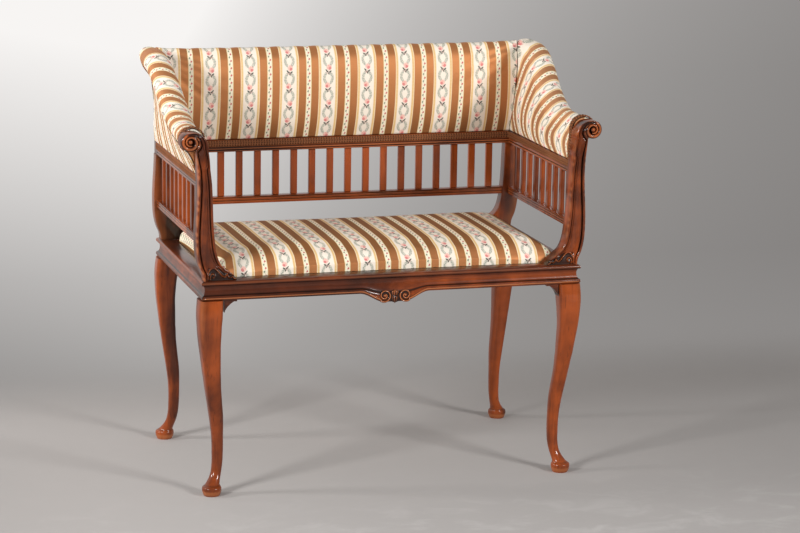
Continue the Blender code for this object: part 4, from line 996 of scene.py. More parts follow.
def side_comb(side, sign):
    """The side's lower rail with two grooves, and its nine slats housed in it."""
    low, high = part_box(f"{side}_lower_rail")
    near, far = (low.x, high.x) if sign > 0 else (high.x, low.x)
    rail_low, rail_high = LOWER_LOW.z, LOWER_HIGH.z
    section = grooved(near, far, rail_low, rail_high, (0.36, 0.70))
    y = np.linspace(low.y, high.y, 14)[:, None]
    out = np.broadcast_to(section[:, 0], (14, len(section)))
    up = np.broadcast_to(section[:, 1], out.shape)
    points = np.stack([out, np.broadcast_to(y, out.shape), up], axis=-1)
    meshes = [grid_mesh("rail", points, around=True, ends=True, sharp=35,
                        marks={"wear": np.broadcast_to(section[:, 3], out.shape),
                               "dirt": np.broadcast_to(section[:, 2], out.shape)})]
    middle = (near + far) / 2
    pitch = (high.y - low.y + 0.0142) / 10
    for i in range(9):
        centre = low.y + (i + 1) * pitch - 0.0071
        meshes.append(slat_mesh(middle, centre, rail_high - 0.003, UPPER_LOW.z - 0.0003))
    name = f"slatted_{side}_panel"
    add_piece(name, joined(name, meshes), mahogany(name, 2, 0.54, worked=True, calm=0.7), [f"{side}_lower_rail"])


def slat_mesh(x, y, low, high):
    """A thin slat with eased corners."""
    angle = np.radians(np.concatenate([np.linspace(k * 90, k * 90 + 90, 4) for k in range(4)]))
    hx, hy, r = 0.0040, 0.0071, 0.0009
    ring = np.stack([x + np.repeat([1, -1, -1, 1], 4) * (hx - r) + r * np.cos(angle),
                     y + np.repeat([1, 1, -1, -1], 4) * (hy - r) + r * np.sin(angle)], axis=1)
    levels = np.linspace(low, high, 6)
    points = np.stack([np.column_stack([ring, np.full(len(ring), z)]) for z in levels])
    zero = np.zeros(points.shape[:2])
    dirt = zero + ease(1 - (levels[:, None] - low - 0.003) / 0.006) * 0.5
    return grid_mesh("slat", points, around=True, ends=True, marks={"wear": zero, "dirt": dirt}, sharp=40)


def ears():
    for side, sign in SIDES.items():
        node = f"front_{side}_ear"
        finish_node(node, mahogany(node, 0, 0.46))


# Padding

def arm_lines(y, growth=0.0):
    """Sections of an arm at depths: up its inner face on a Bezier curve, round the roll, and down the outer face.
    Points are out and up; also the distance along each section and the index of the roll's end."""
    y = np.atleast_1d(y)
    share = (y - ARM_FRONT) / (ARM_BACK - ARM_FRONT)
    out = (PANEL_IN + ROLL_OUT * flow(ROLL, share, 1))[:, None]
    up = (UPPER_HIGH.z + ROLL_RISE * flow(ROLL, share, 2))[:, None]
    radius = ROLL_RADIUS * flow(ROLL, share, 3)[:, None] + np.reshape(growth, (-1, 1))
    grown = np.broadcast_to(np.reshape(growth, (-1, 1)), radius.shape)
    inner = PANEL_IN - grown
    outer = PANEL_OUT - 0.0028 + grown
    rise = (up - PAD_BOTTOM) * 0.4

    def curve(a, b, c, d, t):
        weights = ((1 - t) ** 3, 3 * t * (1 - t) ** 2, 3 * t * t * (1 - t), t ** 3)
        return np.stack([sum(w * p[k] for w, p in zip(weights, (a, b, c, d))) for k in (0, 1)], axis=-1)

    t = np.linspace(0, 1, 26)[None, :]
    bottom = np.full(up.shape, PAD_BOTTOM)
    face = curve((inner, bottom), (inner, bottom + rise), (out - radius, up - rise), (out - radius, up), t)
    angle = np.radians(np.linspace(180, -50, 40)[1:])[None, :]
    arc = np.stack([out + radius * np.cos(angle), up + radius * np.sin(angle)], axis=-1)
    last = math.radians(-50)
    tip = (out + radius * math.cos(last), up + radius * math.sin(last))
    pull = (tip[1] - PAD_BOTTOM) * 0.35
    leave = (tip[0] + pull * math.sin(last), tip[1] - pull * math.cos(last))
    flank = curve(tip, leave, (outer + 0.006, bottom + pull), (outer, bottom), np.linspace(0, 1, 18)[None, 1:])
    lines = np.concatenate([face, arc, flank], axis=1)
    run = np.concatenate([np.zeros((len(y), 1)),
                          np.cumsum(np.linalg.norm(np.diff(lines, axis=1), axis=2), axis=1)], axis=1)
    return lines, run, 26 + 39


def fan(y, run, crest):
    """Where a point of an arm's cloth lies across the stripes. The stripes stand upright low on the face, lean
    forward over the roll by a table of shares, and fan out towards the front."""
    rows = np.array([(-0.24, 5.60), (-0.1554, 4.3375), (-0.0901, 3.6625), (-0.0536, 3.3375), (0.0090, 2.6625),
                     (0.0378, 2.3375), (0.0873, 1.6625), (0.1108, 1.3375), (0.1578, 0.6625), (0.1839, 0.3375),
                     (0.1915, 0.243), (0.1975, 0.172), (0.30, -0.05)])
    lean = np.interp(rows[:, 0], [-0.155, -0.09, -0.054, 0.01, 0.038, 0.111, 0.184],
                     [0.039, 0.052, 0.0626, 0.073, 0.0757, 0.0835, 0.089])
    shape = np.array([(0.0, 0.27), (0.05, 0.13), (0.10, 0.05), (0.16, 0.0), (0.22, 0.0), (0.28, 0.03), (0.33, 0.09),
                      (0.39, 0.183), (0.45, 0.275), (0.50, 0.368), (0.55, 0.465), (0.60, 0.56), (0.70, 0.72),
                      (0.77, 0.83), (0.83, 0.905), (0.90, 0.97), (1.0, 1.0), (1.1, 0.97), (1.2, 0.90), (1.3, 0.81),
                      (1.7, 0.50), (2.2, 0.30), (4.0, 0.2)])
    late = np.interp(rows[:, 0], [-0.155, -0.10, -0.054, 0.11, 0.158, 0.184], [1.45, 1.35, 1.0, 1.0, 1.3, 1.5])
    share = np.clip(run / crest, 0, 4).ravel()
    lines = rows[:, :1] - lean[:, None] * flow(shape, share[None, :] ** late[:, None])
    at = np.broadcast_to(y, run.shape).ravel()
    i = np.clip((lines < at[None, :]).sum(axis=0) - 1, 0, len(rows) - 2)
    k = np.arange(len(at))
    low, high = lines[i, k], lines[i + 1, k]
    share = (at - low) / (high - low)
    return (rows[i, 1] + (rows[i + 1, 1] - rows[i, 1]) * share).reshape(run.shape)


def settle(piece, held, cap):
    """Lets the stuffing swell the cloth: Cloth with pressure and no gravity, tacked where 'held' is true, and no
    point moves farther than the cap."""
    if cap <= 0:
        return
    scene = bpy.context.scene
    mesh = piece.data
    count = len(mesh.vertices)
    rest = np.zeros(count * 3)
    mesh.vertices.foreach_get("co", rest)
    tacks = piece.vertex_groups.new(name="tacks")
    tacks.add(np.flatnonzero(held.ravel()).tolist(), 1.0, "REPLACE")
    cloth = piece.modifiers.new("stuffing", "CLOTH")
    cloth.settings.vertex_group_mass = tacks.name
    cloth.settings.use_pressure = True
    cloth.settings.uniform_pressure_force = 4.0
    cloth.settings.effector_weights.gravity = 0.0
    cloth.settings.quality = 4
    cloth.collision_settings.use_collision = False
    for moment in range(1, 21):
        scene.frame_set(moment)
    view = bpy.context.evaluated_depsgraph_get()
    swollen = np.zeros(count * 3)
    piece.evaluated_get(view).data.vertices.foreach_get("co", swollen)
    move = (swollen - rest).reshape(-1, 3)
    far = np.linalg.norm(move, axis=1)[:, None]
    move *= cap * np.tanh(far / cap) / np.maximum(far, 1e-9)
    mesh.vertices.foreach_set("co", rest + move.ravel())
    piece.modifiers.remove(cloth)
    piece.vertex_groups.remove(tacks)
    scene.frame_set(1)
    mesh.update()


def soften(piece):
    smooth = piece.modifiers.new("smooth", "SUBSURF")
    smooth.levels = 1
    smooth.render_levels = 1


def arm(side, sign):
    """Padding of an arm: its sections from front to back, drawn in over the last few millimetres at both ends."""
    cloth = bpy.context.scene.settee_cloth
    turn = np.radians(np.array([0.0, 25.0, 50.0, 75.0]))
    front = ARM_FRONT + 0.0004 + 0.003 * (1 - np.cos(np.pi / 2 - turn))
    back = ARM_BACK - 0.006 * (1 - np.sin(turn[::-1]))
    y = np.concatenate([np.sort(front), np.linspace(ARM_FRONT + 0.008, ARM_BACK - 0.011, 50), np.sort(back)])
    growth = np.concatenate([-0.003 * (1 - np.sin(turn)), np.zeros(50), -0.006 * (1 - np.cos(turn))])
    start = 0.0
    growth = growth - 0.0016 + start + 0.0022 * np.exp(-((y - ARM_FRONT - 0.0135) / 0.007) ** 2)
    lines, run, last = arm_lines(y, growth)
    crest = run[:, 26 + 8][:, None]
    points = np.concatenate([lines[..., :1], np.broadcast_to(y[:, None, None], (*lines.shape[:2], 1)),
                             lines[..., 1:]], axis=-1)
    points[..., 2] = np.maximum(points[..., 2], PAD_BOTTOM)
    count = fan(y[:, None], run, crest) + (0.5 if sign < 0 else 0.0)
    uv = np.stack([count * cloth.repeat, -run + 0.004 * sign], axis=-1)
    name = f"striped_{side}_arm"
    mesh = grid_mesh(name, mirrored(points, sign), around=True, ends=True, cloth=uv)
    # Painted sheen on the arm's copper, stronger on the right arm
    piece = add_piece(name, mesh, striped_cover(name, painted_sheen=0.08 + 0.04 * sign), [f"{side}_arm_pad"])
    held = np.zeros(run.shape, bool)
    held[:4] = held[-4:] = True
    held[:, :2] = held[:, last:] = True
    settle(piece, held, cloth.swell)
    soften(piece)


def outside_cover(side, sign):
    """Cloth on the outer side of an arm, from the upper rail to under the roll, its stripes leaning forward."""
    cloth = bpy.context.scene.settee_cloth
    y = np.linspace(ARM_FRONT + 0.001, ARM_BACK - 0.002, 46)
    lines, run, last = arm_lines(y)
    flank = lines[:, last - 1:]
    share = np.linspace(0, 1, flank.shape[1])[None, :]
    puff = 0.0016 + 0.0016 * np.sin(np.pi * share)
    skin = flank + np.stack([np.broadcast_to(puff, flank.shape[:2]), np.zeros(flank.shape[:2])], axis=-1)
    under = flank[:, ::-1] + np.array([0.0006, 0.0])
    section = np.concatenate([skin, under], axis=1)
    points = np.stack([section[..., 0], np.broadcast_to(y[:, None], section.shape[:2]),
                       np.maximum(section[..., 1], PAD_BOTTOM)], axis=-1)
    height = points[..., 2] - PAD_BOTTOM
    lean = np.interp(points[..., 1], [-0.19, -0.08, 0.05, 0.15, 0.21], [0.55, 1.15, 1.35, 0.85, 0.35])
    uv = np.stack([-(points[..., 1] - lean * height) + 0.022, -height], axis=-1)
    name = f"striped_{side}_outside"
    mesh = grid_mesh(name, mirrored(points, sign), around=True, ends=True, cloth=uv, sharp=60)
    piece = add_piece(name, mesh, striped_cover(name), [f"{side}_arm_outside_cover"])


def back_line():
    """Section of the back's padding: up the crowned front, over the roll, and down behind it to the outside cover."""
    height = BACK_TOP - PAD_BOTTOM
    front = [(BACK_FRONT - forward * 0.0270, PAD_BOTTOM + share * height) for share, forward in BACK[1:] - [0, 0]]
    front[0] = (BACK_FRONT, PAD_BOTTOM)
    front.insert(1, (BACK_FRONT - 0.08 * 0.0270, PAD_BOTTOM + 0.02 * height))
    rear = [(BACK_REAR + back * 0.0100, PAD_BOTTOM + share * height)
            for share, back in ((0.985, 0.62), (0.94, 0.90), (0.88, 1.0), (0.80, 0.80), (0.72, 0.35), (0.64, 0.05),
                                (0.48, 0.0), (0.24, 0.0), (0.0, 0.0))]
    return softened(front + rear, 110)


def back_pad():
    """Padding of the back: its section carried from arm to arm, each end drawn in to a crease against the arm."""
    cloth = bpy.context.scene.settee_cloth
    line = back_line()
    run = run_of(line)
    top = int(np.argmax(line[:, 1]))
    reach = np.array([arm_reach(y, z) for y, z in line])
    ends = 1 - 0.012 * (1 - np.sin(np.linspace(0, np.pi / 2, 7)))
    share = np.concatenate([-ends[::-1], np.linspace(-0.975, 0.975, 88), ends])
    inset = np.concatenate([(1 - np.sin(np.linspace(0, np.pi / 2, 7)))[::-1], np.zeros(88),
                            1 - np.sin(np.linspace(0, np.pi / 2, 7))])
    inset = np.concatenate([np.linspace(1, 0, 7) ** 2, np.zeros(120), np.linspace(0, 1, 7) ** 2])
    share = np.concatenate([np.linspace(-1, -0.990, 7), np.linspace(-0.984, 0.984, 120), np.linspace(0.990, 1, 7)])
    centre = np.array([(BACK_FRONT + BACK_REAR) / 2, (PAD_BOTTOM + BACK_TOP) / 2])
    pull = centre - line
    pull = pull / np.linalg.norm(pull, axis=1)[:, None]
    pull[line[:, 1] < PAD_BOTTOM + 0.002] = 0
    shape = line[None] + inset[:, None, None] * pull[None] * 0.0018
    shape = shape + (inset[:, None, None] < 0.01) * pull[None] * 0.0014
    x = share[:, None] * (reach + 0.0008)[None, :]
    high = ease((line[:, 1] - BACK_TOP + 0.014) / 0.012)[None, :]
    ripple = -0.0006 * np.cos(4 * np.pi * (x + cloth.back_shift) / cloth.repeat) * high
    shape = shape - ripple[..., None] * pull[None] - high[..., None] * pull[None] * -0.0004
    points = np.stack([x, shape[..., 0], np.maximum(shape[..., 1], PAD_BOTTOM)], axis=-1)
    uv = np.stack([x + cloth.back_shift, np.broadcast_to(run[top] - run - 0.0177, x.shape)], axis=-1)
    name = "striped_back"
    # Painted shade: a little over the whole back, growing to full towards its bottom, and a little more near the top of
    # the roll
    low = (0.10 + 0.90 * ease((PAD_BOTTOM + 0.080 - points[..., 2]) / 0.080)
           + 0.14 * ease((points[..., 2] - BACK_TOP + 0.055) / 0.040))
    mesh = grid_mesh(name, points, around=True, ends=True, cloth=uv, marks={"turned_up": low})
    piece = add_piece(name, mesh, striped_cover(name, 0.56), ["back_pad"])
    held = np.zeros(x.shape, bool)
    held[:3] = held[-3:] = True
    held[:, :2] = held[:, -26:] = True
    settle(piece, held, cloth.swell)
    soften(piece)


def arm_reach(y, z):
    """How far out the arm's inner face lies at a depth and a height, up to the roll's crown."""
    line = arm_lines(min(max(y, ARM_FRONT), ARM_BACK))[0][0]
    top = int(np.argmax(line[:30, 1]))
    return float(np.interp(z, line[:top + 1, 1], line[:top + 1, 0]))


def back_outside():
    """Cloth behind the back, flat between braid and roll, with a soft fold at its top."""
    cloth = bpy.context.scene.settee_cloth
    low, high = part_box("back_outside_cover")
    x = np.linspace(low.x, high.x, 60)
    t = np.linspace(0, 1, 24)
    z = low.z + (high.z - low.z) * t
    skin = high.y - 0.0012 * (t ** 8)
    ring_y = np.concatenate([skin, np.full(24, low.y)])
    ring_z = np.concatenate([z, z[::-1]])
    points = np.stack([np.broadcast_to(x[:, None], (60, 48)), np.broadcast_to(ring_y, (60, 48)),
                       np.broadcast_to(ring_z, (60, 48))], axis=-1)
    line = back_line()
    run = run_of(line)
    below = run[int(np.argmax(line[:, 1]))] - run[-1] - PAD_BOTTOM
    uv = np.stack([points[..., 0] + cloth.back_shift, points[..., 2] + below - 0.0177], axis=-1)
    name = "striped_back_outside"
    mesh = grid_mesh(name, points, around=True, ends=True, cloth=uv, sharp=60)
    piece = add_piece(name, mesh, striped_cover(name), ["back_outside_cover"])


def cushion_top():
    """Upper side of the drop-in cushion: a rounded rectangle, its height a dome of the distance from the edge."""
    width = (SEAT_HIGH.x - SEAT_LOW.x) / 2
    depth = (SEAT_HIGH.y - SEAT_LOW.y) / 2
    middle = (SEAT_HIGH.y + SEAT_LOW.y) / 2
    crown = SEAT_HIGH.z - SEAT_LOW.z
    low = -1 + CUSHION_WALL * np.array([0.0, 0.2, 0.4, 0.6, 0.8, 1.0])
    inner = [np.sin(np.linspace(-1, 1, count)[1:-1] * np.pi / 2) for count in (92, 60)]
    u, v = [np.concatenate([low, np.sign(s) * np.abs(s) ** 0.92, -low[::-1]]) for s in inner]
    a, b = np.meshgrid(u, v, indexing="ij")
    corner = 0.035
    fold = np.clip(np.abs(a) - (1 - corner), 0, None) * np.clip(np.abs(b) - (1 - corner * 1.8), 0, None)
    x = a * width * (1 - 0.012 * fold / (corner * corner))
    y = b * depth * (1 - 0.012 * fold / (corner * corner))
    x = x * (1 - 0.0045 / width * (1 - b * b) * np.abs(a) ** 8)
    y = y * (1 - 0.0045 / depth * (1 - a * a) * np.abs(b) ** 8)
    from_side = (width - np.abs(x)) / depth
    from_front = (depth - np.abs(y)) / depth
    p = 3.2
    inset = np.clip((np.clip(from_side, 1e-4, 2) ** -p + np.clip(from_front, 1e-4, 2) ** -p) ** (-1 / p), 0, 1)
    wall = np.clip((1 - np.maximum(np.abs(a), np.abs(b))) / CUSHION_WALL, 0, 1)
    rise = flow(CUSHION, inset) * wall
    dip = 0.0012 * np.sin(x * 2 * np.pi / 0.047) * np.exp(-((inset - 0.10) / 0.07) ** 2)
    lowered = 0.0020
    z = SEAT_LOW.z + rise * (crown - lowered) + dip * (wall > 0.99)
    return np.stack([x, y + middle, z], axis=-1)


def seat():
    """Drop-in cushion, its stripes swung to the left over the top, flat underneath."""
    cloth = bpy.context.scene.settee_cloth
    top = cushion_top()
    x = top[..., 0]
    y = top[..., 1] - (SEAT_HIGH.y + SEAT_LOW.y) / 2
    across = np.cumsum(np.concatenate([np.zeros((len(x), 1)),
                                       np.linalg.norm(np.diff(top[..., 1:], axis=1), axis=2)], axis=1), axis=1)
    skew = 0.005 + ease((y + 0.172) / 0.09) * (0.0046 - 0.0085 * x)
    wall = np.sign(x) * (top[6:7, :, 2] - top[..., 2]) * (np.arange(len(x)) % (len(x) - 5) < 6)[:, None]
    uv = np.stack([x * 0.993 + wall + cloth.seat_shift + skew, 0.0085 + across[:, 5:6] - across], axis=-1)
    name = "striped_seat"
    # Painted shade over the top of the cushion, behind its front roll
    up = ease((y + 0.186) / 0.036)
    mesh = closed_sheet(name, top, uv, SEAT_LOW.z, up)
    piece = add_piece(name, mesh, striped_cover(name, 0.66), ["seat_cushion"], body="seat")
    held = np.zeros(len(mesh.vertices), bool)
    edge = np.zeros(top.shape[:2], bool)
    edge[:7] = edge[-7:] = True
    edge[:, :7] = edge[:, -7:] = True
    held[:edge.size] = edge.ravel()
    held[edge.size:] = True
    settle(piece, held, cloth.swell)
    soften(piece)


def closed_sheet(name, top, uv, floor, turned_up):
    """A grid of points over a flat underside that shares its border, 1 mm lower inside."""
    rows, columns = top.shape[:2]
    count = rows * columns
    index = np.arange(count).reshape(rows, columns)
    border = np.zeros((rows, columns), bool)
    border[0] = border[-1] = True
    border[:, 0] = border[:, -1] = True
    under = index + count
    under[border] = index[border]
    faces = []
    for grid in (index, under):
        quads = np.stack([grid[:-1, :-1], grid[:-1, 1:], grid[1:, 1:], grid[1:, :-1]], axis=-1).reshape(-1, 4)
        faces += quads.tolist()
    bottom = top.copy()
    bottom[..., 2] = floor
    points = np.concatenate([top.reshape(-1, 3), bottom.reshape(-1, 3)])
    mesh = bpy.data.meshes.new(name)
    mesh.from_pydata(points.tolist(), [], faces)
    # Share of painted shade for each point, the same under as on top
    mark = mesh.attributes.new("turned_up", "FLOAT", "POINT")
    mark.data.foreach_set("value", np.concatenate([turned_up.ravel()] * 2).astype(np.float32))
    both = np.concatenate([uv.reshape(-1, 2), uv.reshape(-1, 2)])
    layer = mesh.uv_layers.new(name="cloth")
    corners = np.zeros(len(mesh.loops), np.int64)
    mesh.loops.foreach_get("vertex_index", corners)
    layer.data.foreach_set("uv", both[corners].astype(np.float32).ravel())
    shape = bmesh.new()
    shape.from_mesh(mesh)
    bmesh.ops.delete(shape, geom=[v for v in shape.verts if not v.link_faces], context="VERTS")
    bmesh.ops.recalc_face_normals(shape, faces=shape.faces)
    shape.to_mesh(mesh)
    shape.free()
    mesh.shade_smooth()
    return mesh


# Braid

def ribbon(line, across, out, width, thick, step):
    """A braid on a line: across it, a low oval; along it, scrolled loops near both edges and two strands that
    cross in the middle. Returns its points and the height share of its threads."""
    c = np.linspace(-1, 1, 17)
    run = run_of(line)
    count = max(int(run[-1] / 0.00062), 8)
    at = np.linspace(0, run[-1], count)
    place, side, proud = (np.stack([np.interp(at, run, field[:, k]) for k in range(3)], axis=1)
                          for field in (line, across, out))
    phase = (2 * np.pi * at / step)[:, None]
    loops = ease(0.5 + 0.8 * np.cos(phase + 1.2 * np.abs(c))) * np.exp(-((np.abs(c) - 0.62) / 0.30) ** 2)
    strand = np.exp(-((c - 0.34 * np.sin(phase / 2)) / 0.17) ** 2) + np.exp(-((c + 0.34 * np.sin(phase / 2)) / 0.17) ** 2)
    cords = 0.9 * np.exp(-((np.abs(c) - 0.97) / 0.07) ** 2)
    thread = np.clip(0.25 + 0.70 * loops + 0.35 * strand + cords, 0, 1)
    edge = np.sqrt(np.clip(1 - c ** 8, 0, 1))
    lift = thick * edge * (0.34 + 0.66 * thread)
    scallop = 1 + 0.05 * np.cos(phase)
    face = (place[:, None] + side[:, None] * (c[None, :, None] * width / 2 * scallop[..., None])
            + proud[:, None] * lift[..., None])
    back = place[:, None] + side[:, None] * (np.array([0.96, -0.96])[None, :, None] * width / 2)
    points = np.concatenate([face, back], axis=1)
    return points, np.concatenate([thread, np.zeros((count, 2))], axis=1)


def straight(a, b, across, out):
    line = np.linspace(a, b, 24)
    return line, np.broadcast_to(np.asarray(across, float), line.shape), np.broadcast_to(np.asarray(out, float), line.shape)


def add_braid(name, runs, nodes, width, thick):
    braid = bpy.context.scene.settee_braid
    meshes = []
    for line, across, out in runs:
        points, thread = ribbon(line, across, out, width, thick, braid.step)
        meshes.append(grid_mesh("braid", points, around=True, ends=True, marks={"thread": thread}))
    add_piece(name, joined(name, meshes), woven_braid(name), nodes)


def braids():
    """Braid along the rails' upper edges, inside and outside, and round the fronts of the arms."""
    low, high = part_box("inner_braid")
    z = (low.z + high.z) / 2
    up = (0, 0, 1)
    width = high.z - low.z
    runs = [straight((high.x - 0.0001, low.y, z), (high.x - 0.0001, high.y, z), up, (-1, 0, 0)),
            straight((low.x + 0.0001, low.y, z), (low.x + 0.0001, high.y, z), up, (1, 0, 0)),
            straight((low.x, high.y - 0.0001, z), (high.x, high.y - 0.0001, z), up, (0, -1, 0))]
    add_braid("gimp_inside", runs, ["inner_braid"], width, 0.0021)
    low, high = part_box("back_outer_braid")
    add_braid("gimp_back", [straight((low.x, low.y, z), (high.x, low.y, z), up, (0, 1, 0))], ["back_outer_braid"],
              width, 0.0021)
    for side, sign in SIDES.items():
        low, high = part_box(f"{side}_outer_braid")
        face = low.x if sign > 0 else high.x
        add_braid(f"gimp_{side}_outside", [straight((face, low.y, z), (face, high.y, z), up, (sign, 0, 0))],
                  [f"{side}_outer_braid"], width, 0.0021)
        y = ARM_FRONT + 0.0078
        lines, _, last = arm_lines(y, 0.0012)
        path = spread(lines[0][:last], 120)
        line = np.stack([sign * path[:, 0], np.full(120, y), path[:, 1]], axis=1)
        ahead = along_first(line)
        across = np.broadcast_to(np.array([0.0, 1.0, 0.0]), line.shape)
        out = np.cross(ahead, across) * sign
        add_braid(f"gimp_{side}_front", [(line, across, out)], [f"{side}_arm_front_braid"], 0.0150, 0.0026)


# Hidden pieces

def hidden():
    for node, grain in (("crest_rail", 0), ("left_arm_rail", 1), ("right_arm_rail", 1), ("slip_seat_frame", 0)):
        finish_node(node, inner_wood(node, grain))
    for end in ("front", "back"):
        for side in SIDES:
            node = f"{end}_{side}_corner_block"
            finish_node(node, inner_wood(node, 2))
    finish_node("seat_webbing", jute("seat_webbing"))


# Stage

def sweep():
    """Floor that curves up into a backdrop: flat to BEND_START behind the settee, then a quarter circle, then
    straight up."""
    x = np.linspace(-7.0, 7.0, 41)
    turn = np.linspace(0, math.pi / 2, 32)
    floor = np.stack([np.linspace(-9.0, BEND_START, 30), np.zeros(30)], axis=1)
    bend = np.stack([BEND_START + BEND_RADIUS * np.sin(turn), BEND_RADIUS * (1 - np.cos(turn))], axis=1)[1:]
    wall = np.stack([np.full(14, BEND_START + BEND_RADIUS), np.linspace(BEND_RADIUS, 5.5, 14)], axis=1)[1:]
    line = np.concatenate([floor, bend, wall])
    shape = (len(x), len(line))
    return np.stack([np.broadcast_to(x[:, None], shape), np.broadcast_to(line[:, 0], shape),
                     np.broadcast_to(line[:, 1], shape)], axis=-1)


def backdrop(name):
    """Painted floor, mottled in front. Behind the settee it turns into a backdrop that shows its own brightness:
    that of the wall, plus a glow that grows with height and fades to the right as an exponential."""
    stage = bpy.context.scene.settee_stage
    paint = Paint(name, Roughness=0.9, Specular_IOR_Level=0.1, Emission_Strength=1.0)
    x, y, z = paint.parts(paint.place())
    high = z + (y - BEND_START).high(0) * 0.25
    fade = ((x + 0.10).high(0) * (-1 / 0.66)).math("EXPONENT")
    glow = ((high * 0.99 + 0.17) * fade - (-0.25 - x).high(0).low(0.6) * 0.22).high(0).low(1.12)
    glow = glow + (high - 0.75).high(0) * 0.07 + (0.25 - high).high(0) * 0.20
    tone = paint.mix(1.0, stage.wall, paint.mix(glow, (0, 0, 0), stage.glow), "ADD")
    seen = paint.node("LightPath", out="Is Camera Ray").high(paint.node("LightPath", out="Is Glossy Ray"))
    shown = y.rises(0.40, 0.95) * seen.high(paint.node("LightPath", out="Is Transmission Ray"))
    blotch = paint.noise(paint.place((9, 14, 9)), 1.0, 7.0, 0.65, 0.6)
    speck = paint.noise(paint.place((60, 90, 60)), 1.0, 3.0, 0.6)
    near = y.falls(-0.75, -0.15)
    pale = blotch.rises(0.47, 0.70) * near * 0.42 + (speck - 0.5) * near * 0.15 + (blotch - 0.5) * 0.10 + 0.08
    floor = paint.mix(pale, stage.floor, (0.62, 0.60, 0.58))
    # Painted shade: the floor darker towards the right, and on the left, fading out behind the settee
    floor = paint.mix(x.rises(-0.4, 1.3) * 0.36, floor, [value * 0.45 for value in stage.floor])
    floor = paint.mix(x.falls(-1.05, -0.45) * y.falls(0.0, 0.5) * 0.30, floor, [value * 0.45 for value in stage.floor])
    return paint.feed(Base_Color=paint.mix(shown, floor, (0, 0, 0)), Emission_Color=paint.mix(shown, (0, 0, 0), tone),
                      Alpha=1 - paint.node("NewGeometry", out="Backfacing"))


def lamp(name, place, aim, size, watts):
    data = bpy.data.lights.new(name, "AREA")
    data.shape = "RECTANGLE"
    data.size, data.size_y = size
    data.energy = watts
    made = bpy.data.objects.new(name, data)
    bpy.context.scene.collection.objects.link(made)
    direction = np.array(aim, float) - np.array(place, float)
    back = -direction / np.linalg.norm(direction)
    right = np.cross((0, 0, 1), back)
    right /= np.linalg.norm(right)
    up = np.cross(back, right)
    made.matrix_world = Matrix([[right[k], up[k], back[k], place[k]] for k in range(3)] + [[0, 0, 0, 1]])
    return made


def camera():
    """The photograph's camera, solved from the frame: place, turn to the right, down and roll."""
    data = bpy.data.cameras.new("photo_camera")
    data.sensor_width = 36.0
    data.lens = 121.34
    data.clip_start, data.clip_end = 0.1, 60.0
    yaw, pitch, roll = (math.radians(value) for value in (16.513, 11.949, 0.884))
    ahead = np.array([math.sin(yaw) * math.cos(pitch), math.cos(yaw) * math.cos(pitch), -math.sin(pitch)])
    right = np.array([math.cos(yaw), -math.sin(yaw), 0.0])
    up = np.cross(right, ahead)
    turned = math.cos(roll) * right + math.sin(roll) * up
    top = -math.sin(roll) * right + math.cos(roll) * up
    place = (-1.4653, -5.2007 + MIDDLE, 1.5462)
    made = bpy.data.objects.new("photo_camera", data)
    bpy.context.scene.collection.objects.link(made)
    made.matrix_world = Matrix([[turned[k], top[k], -ahead[k], place[k]] for k in range(3)] + [[0, 0, 0, 1]])
    bpy.context.scene.camera = made


def world(strength):
    made = bpy.data.worlds.new("studio")
    made.use_nodes = True
    background = made.node_tree.nodes["Background"]
    background.inputs["Color"].default_value = (0.97, 0.98, 1.0, 1.0)
    background.inputs["Strength"].default_value = strength
    bpy.context.scene.world = made


# Operators

class SetteeStep:
    bl_options = {"REGISTER", "UNDO"}

    def execute(self, context):
        self.make(context.scene)
        return {"FINISHED"}


class SETTEE_OT_stage(SetteeStep, bpy.types.Operator):
    """Make the camera, the lamps and the grey paper"""
    bl_idname = "settee.stage"
    bl_label = "Stage"

    def make(self, scene):
        stage = scene.settee_stage
        scene.view_settings.view_transform = "Standard"
        camera()
        world(stage.around)
        lamp("left_lamp", (-3.35, -2.15, 2.0), (0.0, 0.0, 0.45), (0.9, 0.9), stage.left)
        lamp("right_lamp", (2.2, -3.35, 1.95), (0.0, 0.0, 0.45), (0.9, 0.9), stage.right)
        lamp("side_lamp", (-3.7, 0.45, 1.75), (0.0, 0.0, 0.45), (0.6, 0.6), stage.side)
        mesh = grid_mesh("backdrop", sweep())
        if mesh.polygons[0].normal.z < 0:
            mesh.flip_normals()
        mesh.materials.append(backdrop("backdrop"))
        floor = bpy.data.objects.new("backdrop", mesh)
        scene.collection.objects.link(floor)


class SETTEE_OT_seat_frame(SetteeStep, bpy.types.Operator):
    """Make the four moulded seat rails and the carved apron"""
    bl_idname = "settee.seat_frame"
    bl_label = "Seat frame"

    def make(self, scene):
        for side in ("front", "back", "left", "right"):
            seat_rail(side)
        carved_apron()
        ears()


class SETTEE_OT_legs(SetteeStep, bpy.types.Operator):
    """Make the four cabriole legs"""
    bl_idname = "settee.legs"
    bl_label = "Legs"

    def make(self, scene):
        legs()


class SETTEE_OT_posts(SetteeStep, bpy.types.Operator):
    """Make the scrolled front posts and the plain rear ones"""
    bl_idname = "settee.posts"
    bl_label = "Posts"

    def make(self, scene):
        for side, sign in SIDES.items():
            front_post(side, sign, 0.54 if side == "left" else 0.37)
            rear_post(side, sign, 0.34 if side == "left" else 0.45)


class SETTEE_OT_panels(SetteeStep, bpy.types.Operator):
    """Make the small rails and finish the slats"""
    bl_idname = "settee.panels"
    bl_label = "Slatted panels"

    def make(self, scene):
        panels()


class SETTEE_OT_arms(SetteeStep, bpy.types.Operator):
    """Make the padded arms and their outside covers"""
    bl_idname = "settee.arms"
    bl_label = "Arms"

    def make(self, scene):
        for side, sign in SIDES.items():
            arm(side, sign)
            outside_cover(side, sign)


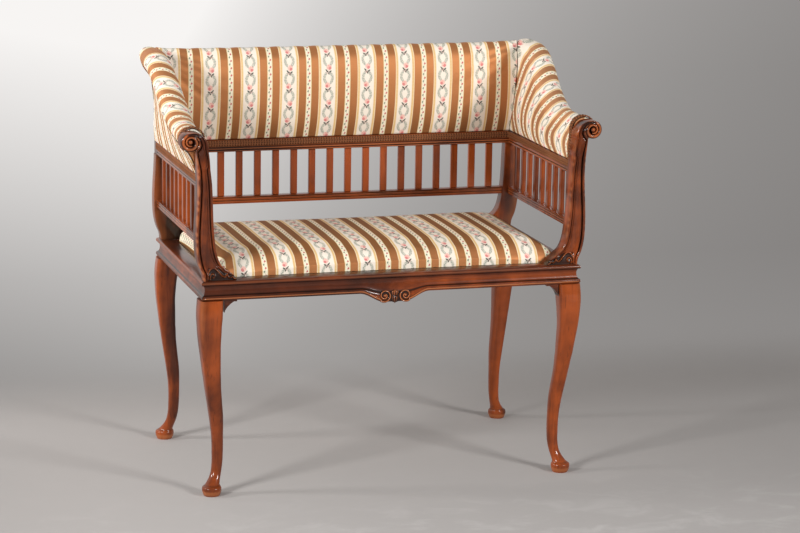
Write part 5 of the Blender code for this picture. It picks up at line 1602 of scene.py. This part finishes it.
class SETTEE_OT_back(SetteeStep, bpy.types.Operator):
    """Make the padded back and its outside cover"""
    bl_idname = "settee.back"
    bl_label = "Back"

    def make(self, scene):
        back_pad()
        back_outside()


class SETTEE_OT_seat(SetteeStep, bpy.types.Operator):
    """Make the drop-in seat's cushion"""
    bl_idname = "settee.seat"
    bl_label = "Seat"

    def make(self, scene):
        seat()


class SETTEE_OT_braid(SetteeStep, bpy.types.Operator):
    """Make the braid along the cloth's edges"""
    bl_idname = "settee.braid"
    bl_label = "Braid"

    def make(self, scene):
        braids()


class SETTEE_OT_hidden(SetteeStep, bpy.types.Operator):
    """Finish the blocks, inner rails, slip seat frame and webbing"""
    bl_idname = "settee.hidden"
    bl_label = "Hidden pieces"

    def make(self, scene):
        hidden()


STEPS = (SETTEE_OT_stage, SETTEE_OT_seat_frame, SETTEE_OT_legs, SETTEE_OT_posts, SETTEE_OT_panels, SETTEE_OT_arms,
         SETTEE_OT_back, SETTEE_OT_seat, SETTEE_OT_braid, SETTEE_OT_hidden)


class SETTEE_PT_panel(bpy.types.Panel):
    """Settings and steps of the settee"""
    bl_label = "Settee"
    bl_idname = "SETTEE_PT_panel"
    bl_space_type = "VIEW_3D"
    bl_region_type = "UI"
    bl_category = "Settee"

    def draw(self, context):
        layout = self.layout
        for title, group in (("Cloth", context.scene.settee_cloth), ("Wood", context.scene.settee_wood),
                             ("Braid", context.scene.settee_braid), ("Stage", context.scene.settee_stage)):
            box = layout.box()
            box.label(text=title)
            for key in group.__annotations__:
                box.prop(group, key)
        for step in STEPS:
            layout.operator(step.bl_idname)


GROUPS = {"settee_cloth": SetteeCloth, "settee_wood": SetteeWood, "settee_braid": SetteeBraid,
          "settee_stage": SetteeStage}


def register():
    for made in (*GROUPS.values(), *STEPS, SETTEE_PT_panel):
        bpy.utils.register_class(made)
    for key, group in GROUPS.items():
        setattr(bpy.types.Scene, key, PointerProperty(type=group))


def unregister():
    for key in GROUPS:
        delattr(bpy.types.Scene, key)
    for made in reversed((*GROUPS.values(), *STEPS, SETTEE_PT_panel)):
        bpy.utils.unregister_class(made)


def main():
    register()
    for step in STEPS:
        getattr(bpy.ops.settee, step.bl_idname.split(".")[1])()


if __name__ == "__main__":
    main()
